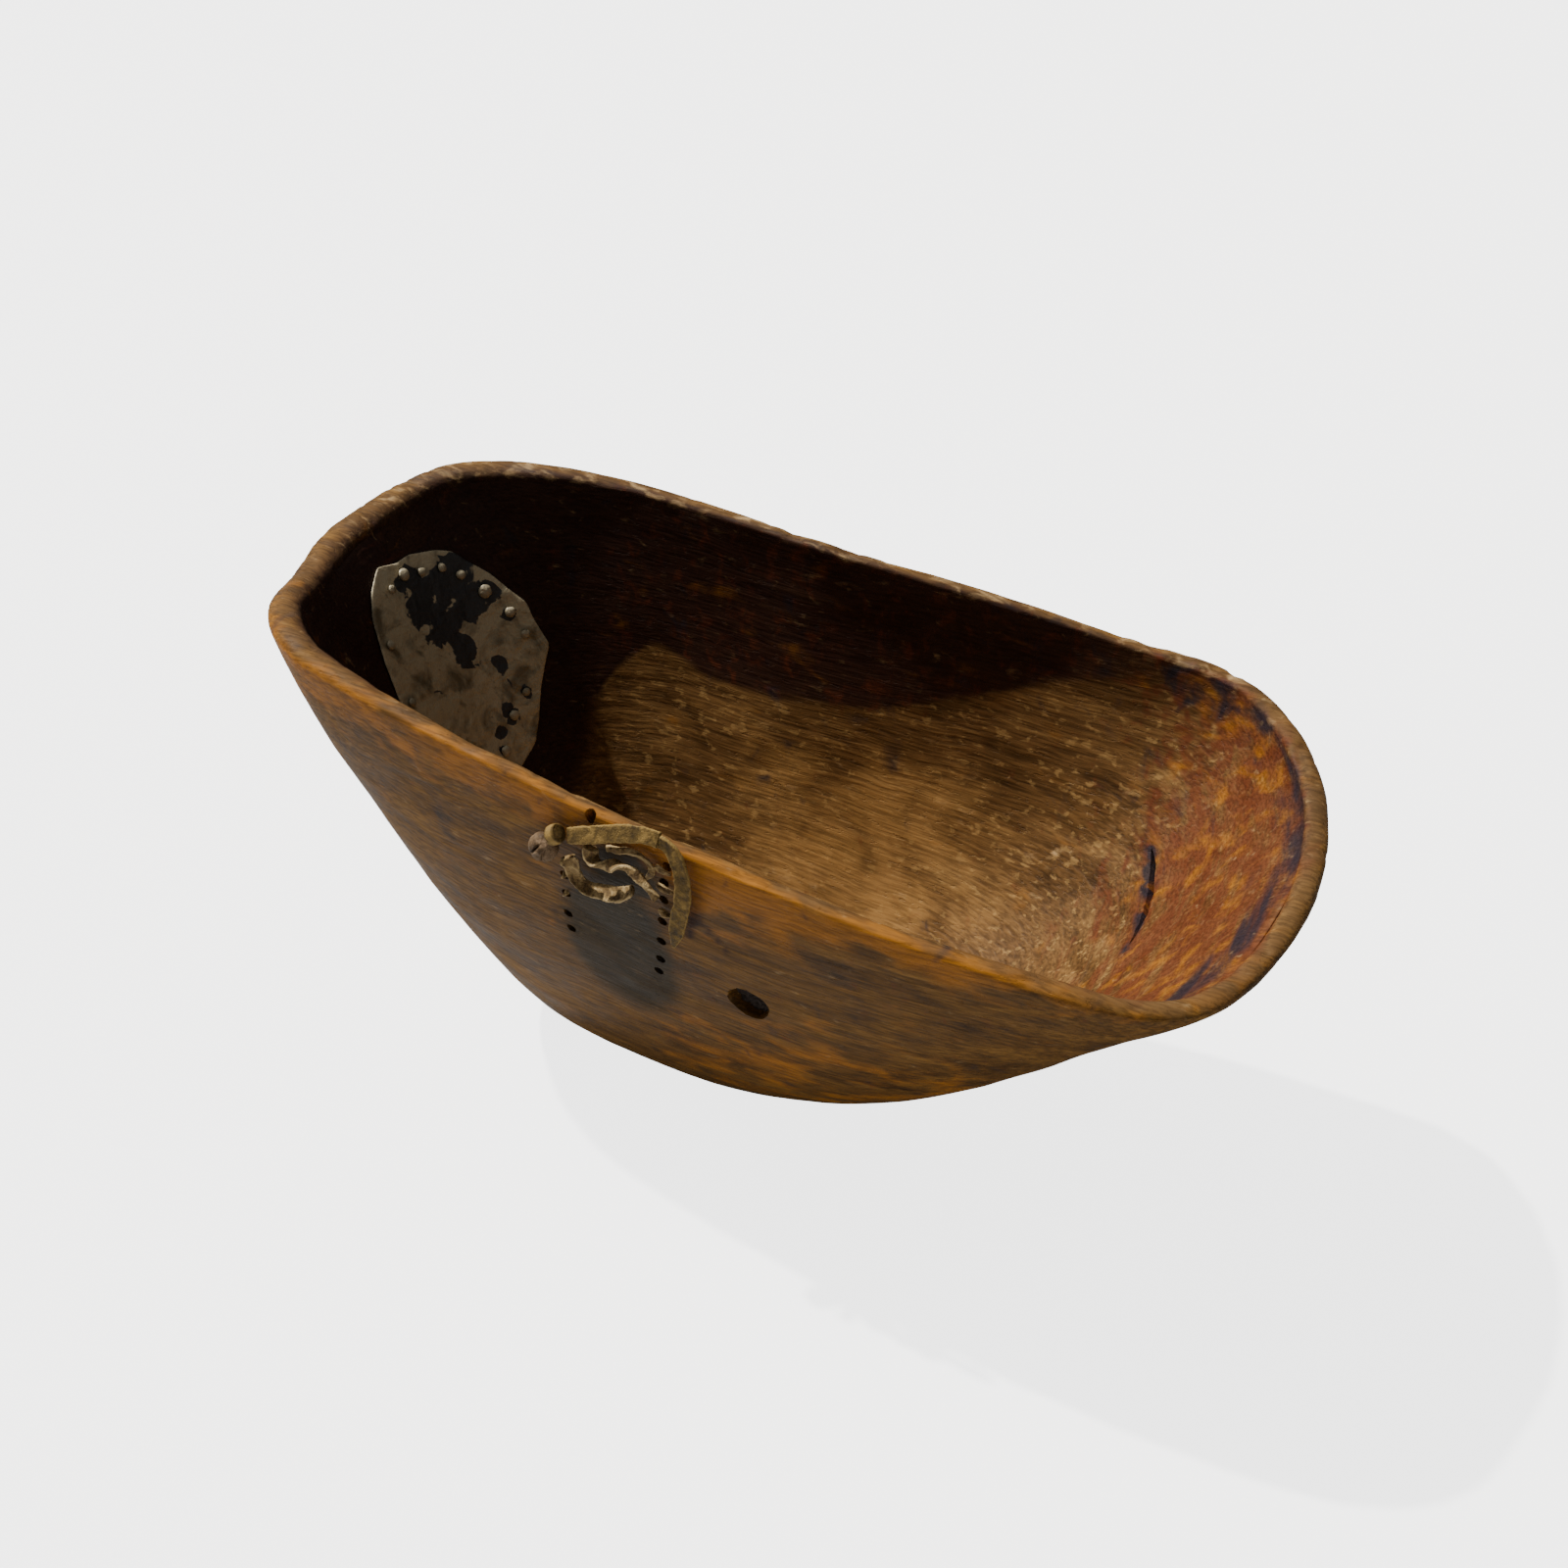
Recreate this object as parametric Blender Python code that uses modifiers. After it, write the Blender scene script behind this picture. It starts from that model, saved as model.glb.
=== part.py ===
"""A hand-carved oblong wooden scoop bowl with a nailed mending plate and the
remains of its leather thong.  Metres, +X to the pouring lip, +Z up."""
import math

import bmesh
import bpy
import numpy as np
from mathutils import Matrix, Vector, geometry
from mathutils.bvhtree import BVHTree

MM = 0.001

# ---- the bowl -------------------------------------------------------------
# Outer edge of the rim, counter-clockwise from the pouring lip, in millimetres.
RIM = [(277, -25, 179), (267, 44, 187), (226, 95, 192), (166, 102, 195), (41, 93, 206),
       (-87, 95, 209), (-154, 76, 202), (-174, 18, 195), (-165, -23, 194), (-147, -62, 201),
       (-110, -86, 202), (38, -107, 195), (182, -109, 186), (254, -87, 176)]
SPAN_STEPS = 7               # rim points between two of the above
KEEL = (-0.014, -0.0055)     # lowest point of the keel before the foot is worn flat: x, z
FLOOR = 0.014                # wood under the lowest point of the hollow
WALL_SIDE = 0.0065           # thickness of the rim along the sides
WALL_PROW = 0.017            # thickness of the rim at the deep end
WALL_LIP = 0.0095            # thickness of the rim at the pouring lip
THICKEN = 2.2                # how suddenly the rim thickens toward its two ends
CREST = 0.35                 # height of the rounded crest over the thickness of the rim
KEEL_PROW = (1.96, 0.75)     # exponents of the keel toward the prow
KEEL_LIP = (2.78, 0.80)      # exponents of the keel toward the lip
SECTION = 2.4                # first exponent of every cross-section
SECTION_PROW = 1.26          # second exponent of a cross-section, at the prow
SECTION_LIP = 1.53           # second exponent of a cross-section, at the lip
OUTER_RINGS = 16
CREST_RINGS = 4
INNER_RINGS = 16
FOOT = 0.2                   # side of the block that cuts the flat foot

# ---- holes in the near wall: x and z in millimetres -----------------------
NEAR_WALL_OUT = Vector((-0.07, -0.98, -0.18)).normalized()
STITCH_RADIUS = 0.0021
STITCHES_LEFT = [(17, 156.5), (16, 145.5), (14.5, 132.5), (14.5, 123.5)]
STITCHES_RIGHT = [(66.5, 185.5), (64.5, 176.5), (63.5, 167), (61.5, 154), (59.5, 141.5), (57.5, 129.5), (55.5, 121)]
RIM_HOLE = Vector((33.6, -106.1, 195)) * MM
RIM_HOLE_RADIUS = 0.0023
RIM_HOLE_AXIS = Vector((0, -0.55, 0.83))
PEG_HOLE = (95.5, 123)
PEG_HOLE_RADIUS = 0.009
CRACK = [Vector(p) * MM for p in ((201, 59, 127), (208, 13, 114))]
CRACK_WIDTH = 0.0036
CRACK_DEPTH = 0.003

# ---- mending plate and tacks: millimetres across and up from its middle ---
PLATE_MIDDLE = Vector((-122, 37, 153)) * MM
PLATE_OUT = Vector((0.832, -0.23, 0.505)).normalized()
PLATE_OUTLINE = [(-31, 37.5), (-20.5, 35.5), (-11.5, 36.5), (2.5, 33.5), (10.5, 29.5), (13.5, 24.5), (21.5, 14),
                 (27, 2), (30.5, -5), (30.5, -12.5), (32.5, -27), (23.5, -44), (17, -58.5), (11.5, -68),
                 (-2, -76.5), (-26, -75), (-44, -57), (-51, -26), (-50, -2), (-46.5, 18), (-41, 28.5)]
PLATE_THICKNESS = 0.0010
PLATE_CELL = 0.005           # spacing of the plate's mesh
PLATE_LIFT = 0.00045         # gap between the plate and the wall
TACKS = [(-19.5, 29.5, 3.1), (-29.5, 26, 2.1), (-9.5, 27, 2.2), (1.5, 25, 2.3), (9, 18.5, 2.4),
         (16.5, 7, 3.3), (23, -6, 2.7), (25.5, -18.5, 2.3), (16.5, -43.5, 2.1), (7, -51, 2.6),
         (-4.5, -64.5, 2.8), (-43.5, 4.5, 2.4), (-45, -22.5, 2.3), (-40, -49, 2.5), (-24, -67, 2.3)]
TACK_RISE = 0.55             # height of a tack's head over its radius
TACK_LIFT = 0.0006           # gap under a head, which spans the hollow curve of the plate
TACK_SKIRT = 0.0002          # straight edge under a tack's dome
SHANK_RADIUS = 0.0007
SHANK_LENGTH = 0.0065
BORE_RADIUS = 0.0012
BORE_DEPTH = 0.0075
GAP = 0.0003                 # left between neighbours

# ---- leather: routes are hand-set points in millimetres -------------------
KNOT = ((14.3, -109.5, 175.4), (6.2, 5.2, 6.4))      # middle and half sizes
COLLAR = ((20.7, -110.8, 184.6), (3.9, 4.4, 4.6))
LUMP_CAGE = 2.3              # a cage this wide rounds to about the half sizes above
STRAP_WIDTH = 0.0074
TAIL_WIDTH = 0.0060
STRAP_THICKNESS = 0.0020
STRAP_RUN = [(26.2, -109.9, 185.6), (31.7, -110.5, 188.1), (38.5, -110.8, 191.3), (45.3, -110.8, 194.2),
             (52, -111.1, 196.9), (57.5, -111.2, 198.5), (62, -111.3, 199.2), (65.1, -111.3, 199.2)]
STRAP_RUN_OUT = Vector((0.05, -0.86, 0.5))
TAIL_PIVOT = Vector((65.6, -111.3, 199.1)) * MM
TAIL_ROUTE = [(65.6, -111.3, 199.1), (68.5, -111.6, 198.4), (71.4, -112.3, 196.4), (73.7, -113, 192.8),
              (75.6, -113.7, 188.4), (76, -113.7, 183.6), (75.4, -113.2, 177.1), (74.1, -112.4, 169.9),
              (72.3, -111.4, 162.3), (70.6, -110.2, 154.9), (69, -108.9, 148.6)]
TAIL_OUT = Vector((0.05, -0.98, -0.15))
TONGUE = [(24.1, -108.5, 173.6), (25.3, -107.6, 170), (25.4, -106.5, 165.2), (27, -106, 161.4),
          (31, -106.4, 159.8), (37, -107.4, 161.2), (43, -108.5, 163), (48.8, -109.7, 166.2), (53.2, -110.6, 170.4)]
TWIST = [(35.8, -110.6, 183.9), (35.4, -110.3, 180), (37.8, -110.9, 177.5), (42.3, -111.4, 178.4),
         (47.5, -112.4, 181.2), (52.5, -113.3, 182.6), (57.4, -114.2, 181.4), (62, -114.8, 178.4), (65.9, -115.2, 174.9)]
LACE = [(41.8, -108.8, 184.6), (46.2, -109.6, 186.1), (51, -110.4, 188), (56.1, -111.2, 189.1),
        (60.1, -111.6, 187.4), (61.5, -111.1, 183.6), (59.5, -109.8, 179.2), (56.6, -108.9, 175.8)]
TONGUE_RADIUS = 0.0021
TWIST_RADIUS = 0.0020
LACE_RADIUS = 0.0013
STITCH_STUBS = [((63, 186), (69.5, 185)), ((63, 176.5), (69.5, 175.5)), ((62.5, 163), (67.7, 162))]
STUB_RADIUS = 0.0016
HOLE_STUB_RADIUS = 0.0014
HOLE_STUB_LENGTH = 0.0045
PEG_LENGTH = 0.0035
PEG_DEPTH = 0.0030           # how far the broken peg sits inside its hole

# ---- cutting tools --------------------------------------------------------
DRILL_LENGTH = 0.030         # longer than any wall is thick
RIM_DRILL_LENGTH = 0.024
TOOL_OVERLAP = 0.002         # how far a drill stands out of the surface it enters
SURVEY_HEIGHT = 0.03         # how far over the wall the plate is dropped from
FINE_SIDES = 24
DRILL_SIDES = 12
SMALL_SIDES = 8


def closed_curve(points, steps):
    """A smooth closed curve through the points, with steps samples to a span."""
    here = np.array(points, float)
    after, before = np.roll(here, -1, axis=0), np.roll(here, 1, axis=0)
    span = np.linalg.norm((after - here)[:, :2], axis=1)
    slope = (after - before) / (span + np.roll(span, 1))[:, None]
    t = (np.arange(steps) / steps)[None, :, None]
    start = (slope * span[:, None])[:, None]
    end = (np.roll(slope, -1, axis=0) * span[:, None])[:, None]
    curve = ((2 * t**3 - 3 * t**2 + 1) * here[:, None] + (t**3 - 2 * t**2 + t) * start
             + (3 * t**2 - 2 * t**3) * after[:, None] + (t**3 - t**2) * end)
    return curve.reshape(-1, here.shape[1])


def split_sides(rim):
    """The near and the far side of a closed rim, each running from prow to lip."""
    lip = int(rim[:, 0].argmax())
    turned = np.roll(rim, -lip, axis=0)
    prow = int(turned[:, 0].argmin())
    far = turned[:prow + 1][::-1]
    near = np.vstack([turned[prow:], turned[:1]])
    return [np.column_stack([np.maximum.accumulate(s[:, 0]), s[:, 1:]]) for s in (near, far)]


def rim_thickness(x):
    """Thickness of the rim at a place along the bowl."""
    prow, lip = min(p[0] for p in RIM) * MM, max(p[0] for p in RIM) * MM
    along = 2 * (x - prow) / (lip - prow) - 1
    to_prow, to_lip = np.clip(-along, 0, 1)**THICKEN, np.clip(along, 0, 1)**THICKEN
    return WALL_SIDE + (WALL_PROW - WALL_SIDE) * to_prow + (WALL_LIP - WALL_SIDE) * to_lip


def inward(rim):
    """Level unit vectors from each point of the rim toward the hollow."""
    along = np.roll(rim, -1, axis=0) - np.roll(rim, 1, axis=0)
    side = np.column_stack([-along[:, 1], along[:, 0], 0 * along[:, 0]])
    return side / np.linalg.norm(side, axis=1)[:, None]


def hull_height(rim, low, x, y):
    """Height of a hull that hangs from a rim: a keel curve from end to end, with
    a superellipse from the keel up to the rim across it."""
    near, far = split_sides(rim)
    prow, lip = near[0], near[-1]
    to_prow = x < KEEL[0]
    run = np.where(to_prow, (KEEL[0] - x) / (KEEL[0] - prow[0]), (x - KEEL[0]) / (lip[0] - KEEL[0]))
    first = np.where(to_prow, KEEL_PROW[0], KEEL_LIP[0])
    second = np.where(to_prow, KEEL_PROW[1], KEEL_LIP[1])
    end = np.where(to_prow, prow[2], lip[2])
    keel = low + (end - low) * (1 - np.clip(1 - np.clip(run, 0, 1)**first, 0, 1)**(1 / second))
    y_near, y_far = np.interp(x, near[:, 0], near[:, 1]), np.interp(x, far[:, 0], far[:, 1])
    z_near, z_far = np.interp(x, near[:, 0], near[:, 2]), np.interp(x, far[:, 0], far[:, 2])
    middle, half = (y_near + y_far) / 2, np.maximum((y_far - y_near) / 2, 1e-6)
    top = np.where(y > middle, z_far, z_near)
    across = np.clip(np.abs(y - middle) / half, 0, 1)
    share = np.clip((x - prow[0]) / (lip[0] - prow[0]), 0, 1)
    bend = SECTION_PROW + (SECTION_LIP - SECTION_PROW) * share
    return keel + (top - keel) * (1 - np.clip(1 - across**SECTION, 0, 1)**(1 / bend))


def hull_rings(rim, fine_rim, low, count):
    """Rings of points from the lowest point of a hull up to its rim."""
    near, far = split_sides(fine_rim)
    centre = [KEEL[0], (np.interp(KEEL[0], *near[:, :2].T) + np.interp(KEEL[0], *far[:, :2].T)) / 2]
    rings = []
    for i in range(1, count + 1):
        share = math.sin(math.pi / 2 * i / count)
        x = centre[0] + (rim[:, 0] - centre[0]) * share
        y = centre[1] + (rim[:, 1] - centre[1]) * share
        z = rim[:, 2] if i == count else hull_height(fine_rim, low, x, y)
        rings.append(np.column_stack([x, y, z]))
    return np.array([centre[0], centre[1], low]), rings


def bowl_rings():
    """Every ring of the bowl, from the outer pole over the crest to the inner pole."""
    outer, outer_fine = (closed_curve(np.array(RIM) * MM, SPAN_STEPS * k) for k in (1, 6))
    inner, inner_fine = (r + inward(r) * rim_thickness(r[:, 0])[:, None] for r in (outer, outer_fine))
    foot, below = hull_rings(outer, outer_fine, KEEL[1], OUTER_RINGS)
    floor, above = hull_rings(inner, inner_fine, KEEL[1] + FLOOR, INNER_RINGS)
    crest = []
    for i in range(1, CREST_RINGS + 1):
        angle = math.pi * i / (CREST_RINGS + 1)
        ring = outer + (inner - outer) * (1 - math.cos(angle)) / 2
        ring[:, 2] += CREST * rim_thickness(outer[:, 0]) * math.sin(angle)
        crest.append(ring)
    return foot, below + crest + above[::-1], floor


# ---- scene helpers --------------------------------------------------------
def clear_scene():
    for obj in list(bpy.data.objects):
        bpy.data.objects.remove(obj, do_unlink=True)


def new_collection(name):
    collection = bpy.data.collections.new(name)
    bpy.context.scene.collection.children.link(collection)
    return collection


def finish(name, colour, roughness, metallic=0.0):
    """A plain material: every sub-part has one of its own."""
    material = bpy.data.materials.new(name)
    material.use_nodes = True
    shader = material.node_tree.nodes["Principled BSDF"]
    shader.inputs["Base Color"].default_value = (*colour, 1.0)
    shader.inputs["Roughness"].default_value = roughness
    shader.inputs["Metallic"].default_value = metallic
    return material


def mesh_object(name, bm, collection, material=None, closed=True):
    """Makes a bmesh an object of the collection."""
    mesh = bpy.data.meshes.new(name)
    if closed:
        bmesh.ops.recalc_face_normals(bm, faces=bm.faces)
    bm.to_mesh(mesh)
    bm.free()
    obj = bpy.data.objects.new(name, mesh)
    collection.objects.link(obj)
    if material:
        mesh.materials.append(material)
        mesh.shade_smooth()
        mesh.set_sharp_from_angle(angle=math.radians(50))
    return obj


def aim(direction):
    """Rotation that turns +Z to a direction."""
    return Vector(direction).to_track_quat("Z", "Y").to_matrix().to_4x4()


def cylinder_cutter(name, cutters, centre, axis, radius, length, sides=DRILL_SIDES):
    bm = bmesh.new()
    place = Matrix.Translation(centre) @ aim(axis)
    bmesh.ops.create_cone(bm, cap_ends=True, segments=sides, radius1=radius, radius2=radius,
                          depth=length, matrix=place)
    return hide(mesh_object(name, bm, cutters))


def box_cutter(name, cutters, centre, size):
    bm = bmesh.new()
    bmesh.ops.create_cube(bm, size=1, matrix=Matrix.Translation(centre) @ Matrix.Diagonal((*size, 1)))
    return hide(mesh_object(name, bm, cutters))


def hide(cutter):
    cutter.hide_render = True
    cutter.display_type = "WIRE"
    return cutter


def cut_with(obj, cutters):
    """Cuts an object with everything in a collection of cutters."""
    modifier = obj.modifiers.new("cuts", "BOOLEAN")
    modifier.operation = "DIFFERENCE"
    modifier.solver = "EXACT"
    modifier.operand_type = "COLLECTION"
    modifier.collection = cutters
    return obj


# ---- the bowl -------------------------------------------------------------
def make_bowl(collection, cutters):
    """A sphere whose lower half becomes the outside and whose upper half is
    pushed down into the hollow, with the rounded crest between them."""
    foot, rings, floor = bowl_rings()
    count = len(rings[0])
    bm = bmesh.new()
    bmesh.ops.create_uvsphere(bm, u_segments=count, v_segments=len(rings) + 1, radius=1)
    for vert in bm.verts:
        level = round(math.acos(max(-1.0, min(1.0, -vert.co.z))) * (len(rings) + 1) / math.pi)
        if level == 0:
            vert.co = foot
        elif level == len(rings) + 1:
            vert.co = floor
        else:
            turn = math.atan2(vert.co.y, vert.co.x) * count / (2 * math.pi)
            vert.co = rings[level - 1][round(turn) % count]
    bmesh.ops.triangulate(bm, faces=bm.faces)
    whole = BVHTree.FromBMesh(bm)
    bowl = mesh_object("bowl", bm, collection, finish("bowl wood", (0.20, 0.10, 0.045), 0.55))
    cut_with(bowl, cutters)
    return whole


def on_near_wall(whole, x, z):
    """The point of the outer near wall at a place along the bowl and a height."""
    hit = whole.ray_cast(Vector((x * MM, -1, z * MM)), Vector((0, 1, 0)))
    return hit[0]


def make_wall_cutters(whole, cutters):
    box_cutter("foot_cut", cutters, (0, 0, -FOOT / 2), (FOOT, FOOT, FOOT))
    for i, (x, z) in enumerate(STITCHES_LEFT + STITCHES_RIGHT, 1):
        point = on_near_wall(whole, x, z)
        cylinder_cutter(f"stitch_cut_{i:02d}", cutters, point, NEAR_WALL_OUT, STITCH_RADIUS, DRILL_LENGTH)
    cylinder_cutter("rim_hole_cut", cutters, RIM_HOLE, RIM_HOLE_AXIS, RIM_HOLE_RADIUS, RIM_DRILL_LENGTH)
    cylinder_cutter("peg_hole_cut", cutters, on_near_wall(whole, *PEG_HOLE), NEAR_WALL_OUT,
                    PEG_HOLE_RADIUS, DRILL_LENGTH, FINE_SIDES)
    start, end = CRACK
    surface, out, _, _ = whole.find_nearest((start + end) / 2)
    bm = bmesh.new()
    bmesh.ops.create_cone(bm, cap_ends=True, segments=16, radius1=0.5, radius2=0.5, depth=1)
    along = (end - start).normalized()
    across = out.cross(along).normalized()
    frame = Matrix((along, across, out)).transposed().to_4x4()
    scale = Matrix.Diagonal(((end - start).length, CRACK_WIDTH, 2 * CRACK_DEPTH, 1))
    bmesh.ops.transform(bm, matrix=Matrix.Translation(surface) @ frame @ scale, verts=bm.verts)
    hide(mesh_object("crack_cut", bm, cutters))


# ---- the mending plate ----------------------------------------------------
def plate_frame():
    """Matrix from the plate's own plane to the bowl: X across, Y up the wall, Z out."""
    up = (Vector((0, 0, 1)) - PLATE_OUT * PLATE_OUT.z).normalized()
    across = up.cross(PLATE_OUT)
    return Matrix.Translation(PLATE_MIDDLE) @ Matrix((across, up, PLATE_OUT)).transposed().to_4x4()


def on_inner_wall(whole, frame, across, up, lift):
    """A point over the inner wall, dropped on it along the plate's own normal."""
    start = frame @ Vector((across, up, SURVEY_HEIGHT))
    hit = whole.ray_cast(start, -PLATE_OUT)
    return hit[0] + PLATE_OUT * lift


def filled_outline(outline, cell):
    """A flat mesh inside a closed outline, with points spaced about a cell apart."""
    edge = []
    for start, end in zip(outline, outline[1:] + outline[:1]):
        steps = max(1, round((end - start).length / cell))
        edge += [start.lerp(end, i / steps) for i in range(steps)]
    low = Vector(min(p[i] for p in edge) for i in range(2))
    high = Vector(max(p[i] for p in edge) for i in range(2))
    inside = [Vector((x, y)) for x in np.arange(low.x, high.x, cell) for y in np.arange(low.y, high.y, cell)]
    inside = [p for p in inside if min((p - e).length for e in edge) > cell * 0.6]
    loop = [(i, (i + 1) % len(edge)) for i in range(len(edge))]
    verts, _, faces, *_ = geometry.delaunay_2d_cdt(edge + inside, loop, [], 1, 1e-6)
    bm = bmesh.new()
    made = [bm.verts.new((*p, 0)) for p in verts]
    for face in faces:
        bm.faces.new([made[i] for i in face])
    bmesh.ops.delete(bm, geom=[v for v in bm.verts if not v.link_faces], context="VERTS")
    return bm


def make_plate(collection, whole, bores):
    """A sheet cut to its outline, laid on the inner wall and thickened."""
    frame = plate_frame()
    bm = filled_outline([Vector(p) * MM for p in PLATE_OUTLINE], PLATE_CELL)
    for vert in bm.verts:
        vert.co = on_inner_wall(whole, frame, vert.co.x, vert.co.y, PLATE_LIFT)
    for face in bm.faces:
        face.normal_update()
        if face.normal.dot(PLATE_OUT) < 0:
            face.normal_flip()
    material = finish("plate pewter", (0.23, 0.21, 0.18), 0.45, 0.9)
    plate = mesh_object("mending_plate", bm, collection, material, closed=False)
    shell = plate.modifiers.new("thickness", "SOLIDIFY")
    shell.thickness = PLATE_THICKNESS
    shell.offset = 1
    return cut_with(plate, bores)


def tack_profile(radius):
    """Half outline of a tack from the top of its head down to its point."""
    rise = radius * TACK_RISE
    dome = [(radius * math.sin(a), rise * math.cos(a)) for a in np.linspace(0, math.pi / 2, 5)]
    return dome + [(radius * 0.92, -TACK_SKIRT), (SHANK_RADIUS, -TACK_SKIRT),
                   (SHANK_RADIUS, -SHANK_LENGTH * 0.7), (0, -SHANK_LENGTH)]


def turned(name, profile, collection, material, steps=12):
    """A turned solid: a half outline with a Screw modifier round Z."""
    mesh = bpy.data.meshes.new(name)
    mesh.from_pydata([(r, 0, z) for r, z in profile], [(i, i + 1) for i in range(len(profile) - 1)], [])
    mesh.materials.append(material)
    obj = bpy.data.objects.new(name, mesh)
    collection.objects.link(obj)
    screw = obj.modifiers.new("turned", "SCREW")
    screw.steps = steps
    screw.render_steps = steps
    screw.use_merge_vertices = True
    screw.merge_threshold = 1e-5
    screw.use_smooth_shade = True
    return obj


def make_tacks(collection, whole, bores):
    material = finish("tack pewter", (0.30, 0.28, 0.24), 0.4, 0.9)
    frame = plate_frame()
    lift = PLATE_LIFT + PLATE_THICKNESS + TACK_LIFT + TACK_SKIRT
    for i, (across, up, radius) in enumerate(TACKS, 1):
        seat = on_inner_wall(whole, frame, across * MM, up * MM, 0)
        _, out, _, _ = whole.find_nearest(seat)
        tack = turned(f"tack_{i:02d}", tack_profile(radius * MM), collection, material)
        tack.matrix_world = Matrix.Translation(seat + out * lift) @ aim(out)
        cylinder_cutter(f"tack_bore_{i:02d}", bores, seat - out * (BORE_DEPTH / 2 - TOOL_OVERLAP), out,
                        BORE_RADIUS, BORE_DEPTH + 2 * TOOL_OVERLAP, SMALL_SIDES)


# ---- leather and the broken peg -------------------------------------------
def soft_lump(name, place, collection, material):
    """A rounded lump: a cube cage with Subdivision Surface."""
    middle, half = (Vector(v) * MM for v in place)
    bm = bmesh.new()
    bmesh.ops.create_cube(bm, size=LUMP_CAGE, matrix=Matrix.Translation(middle) @ Matrix.Diagonal((*half, 1)))
    lump = mesh_object(name, bm, collection, material)
    rounding = lump.modifiers.new("rounding", "SUBSURF")
    rounding.levels = 3
    rounding.render_levels = 3
    return lump


def smooth_route(points, steps=3):
    """Points of an open smooth curve through a route given in millimetres."""
    route = [Vector(p) * MM for p in points]
    ends = [2 * route[0] - route[1], *route, 2 * route[-1] - route[-2]]
    spans = zip(ends, ends[1:], ends[2:], ends[3:])
    smooth = []
    for before, start, end, after in spans:
        for i in range(steps):
            t = i / steps
            smooth.append(0.5 * (2 * start + (end - before) * t
                                 + (2 * before - 5 * start + 4 * end - after) * t**2
                                 + (3 * start - before - 3 * end + after) * t**3))
    return smooth + [route[-1]]


def thong(name, points, radius, collection, material, taper=0.75):
    """A leather cord: a bevelled curve with filled caps that thins toward its end."""
    curve = bpy.data.curves.new(name, "CURVE")
    curve.dimensions = "3D"
    curve.bevel_depth = radius
    curve.bevel_resolution = 2
    curve.use_fill_caps = True
    spline = curve.splines.new("POLY")
    spline.points.add(len(points) - 1)
    for i, (point, place) in enumerate(zip(spline.points, points)):
        point.co = (*place, 1)
        point.radius = 1 - (1 - taper) * i / (len(points) - 1)
    curve.materials.append(material)
    obj = bpy.data.objects.new(name, curve)
    collection.objects.link(obj)
    return obj


def strap(name, points, width, out, collection, material, pivot=Vector(), tip=1.0):
    """A flat strap: a ribbon laid along the route and thickened."""
    bm = bmesh.new()
    rows = []
    for i, point in enumerate(points):
        ahead, behind = points[min(i + 1, len(points) - 1)], points[max(i - 1, 0)]
        across = (ahead - behind).cross(out).normalized()
        share = 1 - (1 - tip) * max(0.0, i / (len(points) - 1) * 5 - 4)
        rows.append([bm.verts.new(point - pivot + across * width * share * side) for side in (-0.5, 0, 0.5)])
    for row, following in zip(rows, rows[1:]):
        for i in range(2):
            bm.faces.new((row[i], row[i + 1], following[i + 1], following[i]))
    obj = mesh_object(name, bm, collection, material)
    obj.location = pivot
    shell = obj.modifiers.new("thickness", "SOLIDIFY")
    shell.thickness = STRAP_THICKNESS
    shell.offset = 0
    return obj


def make_leather(collection, whole):
    dark, pale = ((0.16, 0.12, 0.065), 0.75), ((0.36, 0.25, 0.13), 0.8)
    soft_lump("thong_knot", KNOT, collection, finish("knot leather", *dark))
    soft_lump("thong_collar", COLLAR, collection, finish("collar leather", *dark))
    strap("strap_run", smooth_route(STRAP_RUN, 2), STRAP_WIDTH, STRAP_RUN_OUT, collection,
          finish("strap leather", *dark))
    strap("strap_tail", smooth_route(TAIL_ROUTE, 2), TAIL_WIDTH, TAIL_OUT, collection,
          finish("tail leather", *dark), TAIL_PIVOT, 0.35)
    thong("thong_tongue", smooth_route(TONGUE), TONGUE_RADIUS, collection, finish("tongue leather", *pale))
    thong("rawhide_twist", smooth_route(TWIST), TWIST_RADIUS, collection, finish("rawhide", *pale))
    thong("rawhide_lace", smooth_route(LACE), LACE_RADIUS, collection, finish("lace rawhide", *pale))
    material = finish("stitch leather", *pale)
    for i, ends in enumerate(STITCH_STUBS, 1):
        lift = (STUB_RADIUS + 2 * GAP) * NEAR_WALL_OUT
        points = [on_near_wall(whole, x, z) + lift for x, z in ends]
        thong(f"stitch_stub_{i}", points, STUB_RADIUS, collection, material)
    for i, (x, z) in enumerate(STITCHES_LEFT[:2], 1):
        point = on_near_wall(whole, x, z)
        ends = [point - NEAR_WALL_OUT * HOLE_STUB_LENGTH, point + NEAR_WALL_OUT * STUB_RADIUS]
        thong(f"hole_stub_{i}", ends, HOLE_STUB_RADIUS, collection, material, 0.9)


def make_peg(collection, whole):
    """What is left of the peg in its hole, broken off below the surface."""
    face = on_near_wall(whole, *PEG_HOLE) - NEAR_WALL_OUT * PEG_DEPTH
    bm = bmesh.new()
    radius = PEG_HOLE_RADIUS - GAP
    place = Matrix.Translation(face - NEAR_WALL_OUT * PEG_LENGTH / 2) @ aim(NEAR_WALL_OUT)
    bmesh.ops.create_cone(bm, cap_ends=True, segments=FINE_SIDES, radius1=radius, radius2=radius,
                          depth=PEG_LENGTH, matrix=place)
    mesh_object("peg_stub", bm, collection, finish("peg wood", (0.06, 0.03, 0.015), 0.8))


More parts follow.
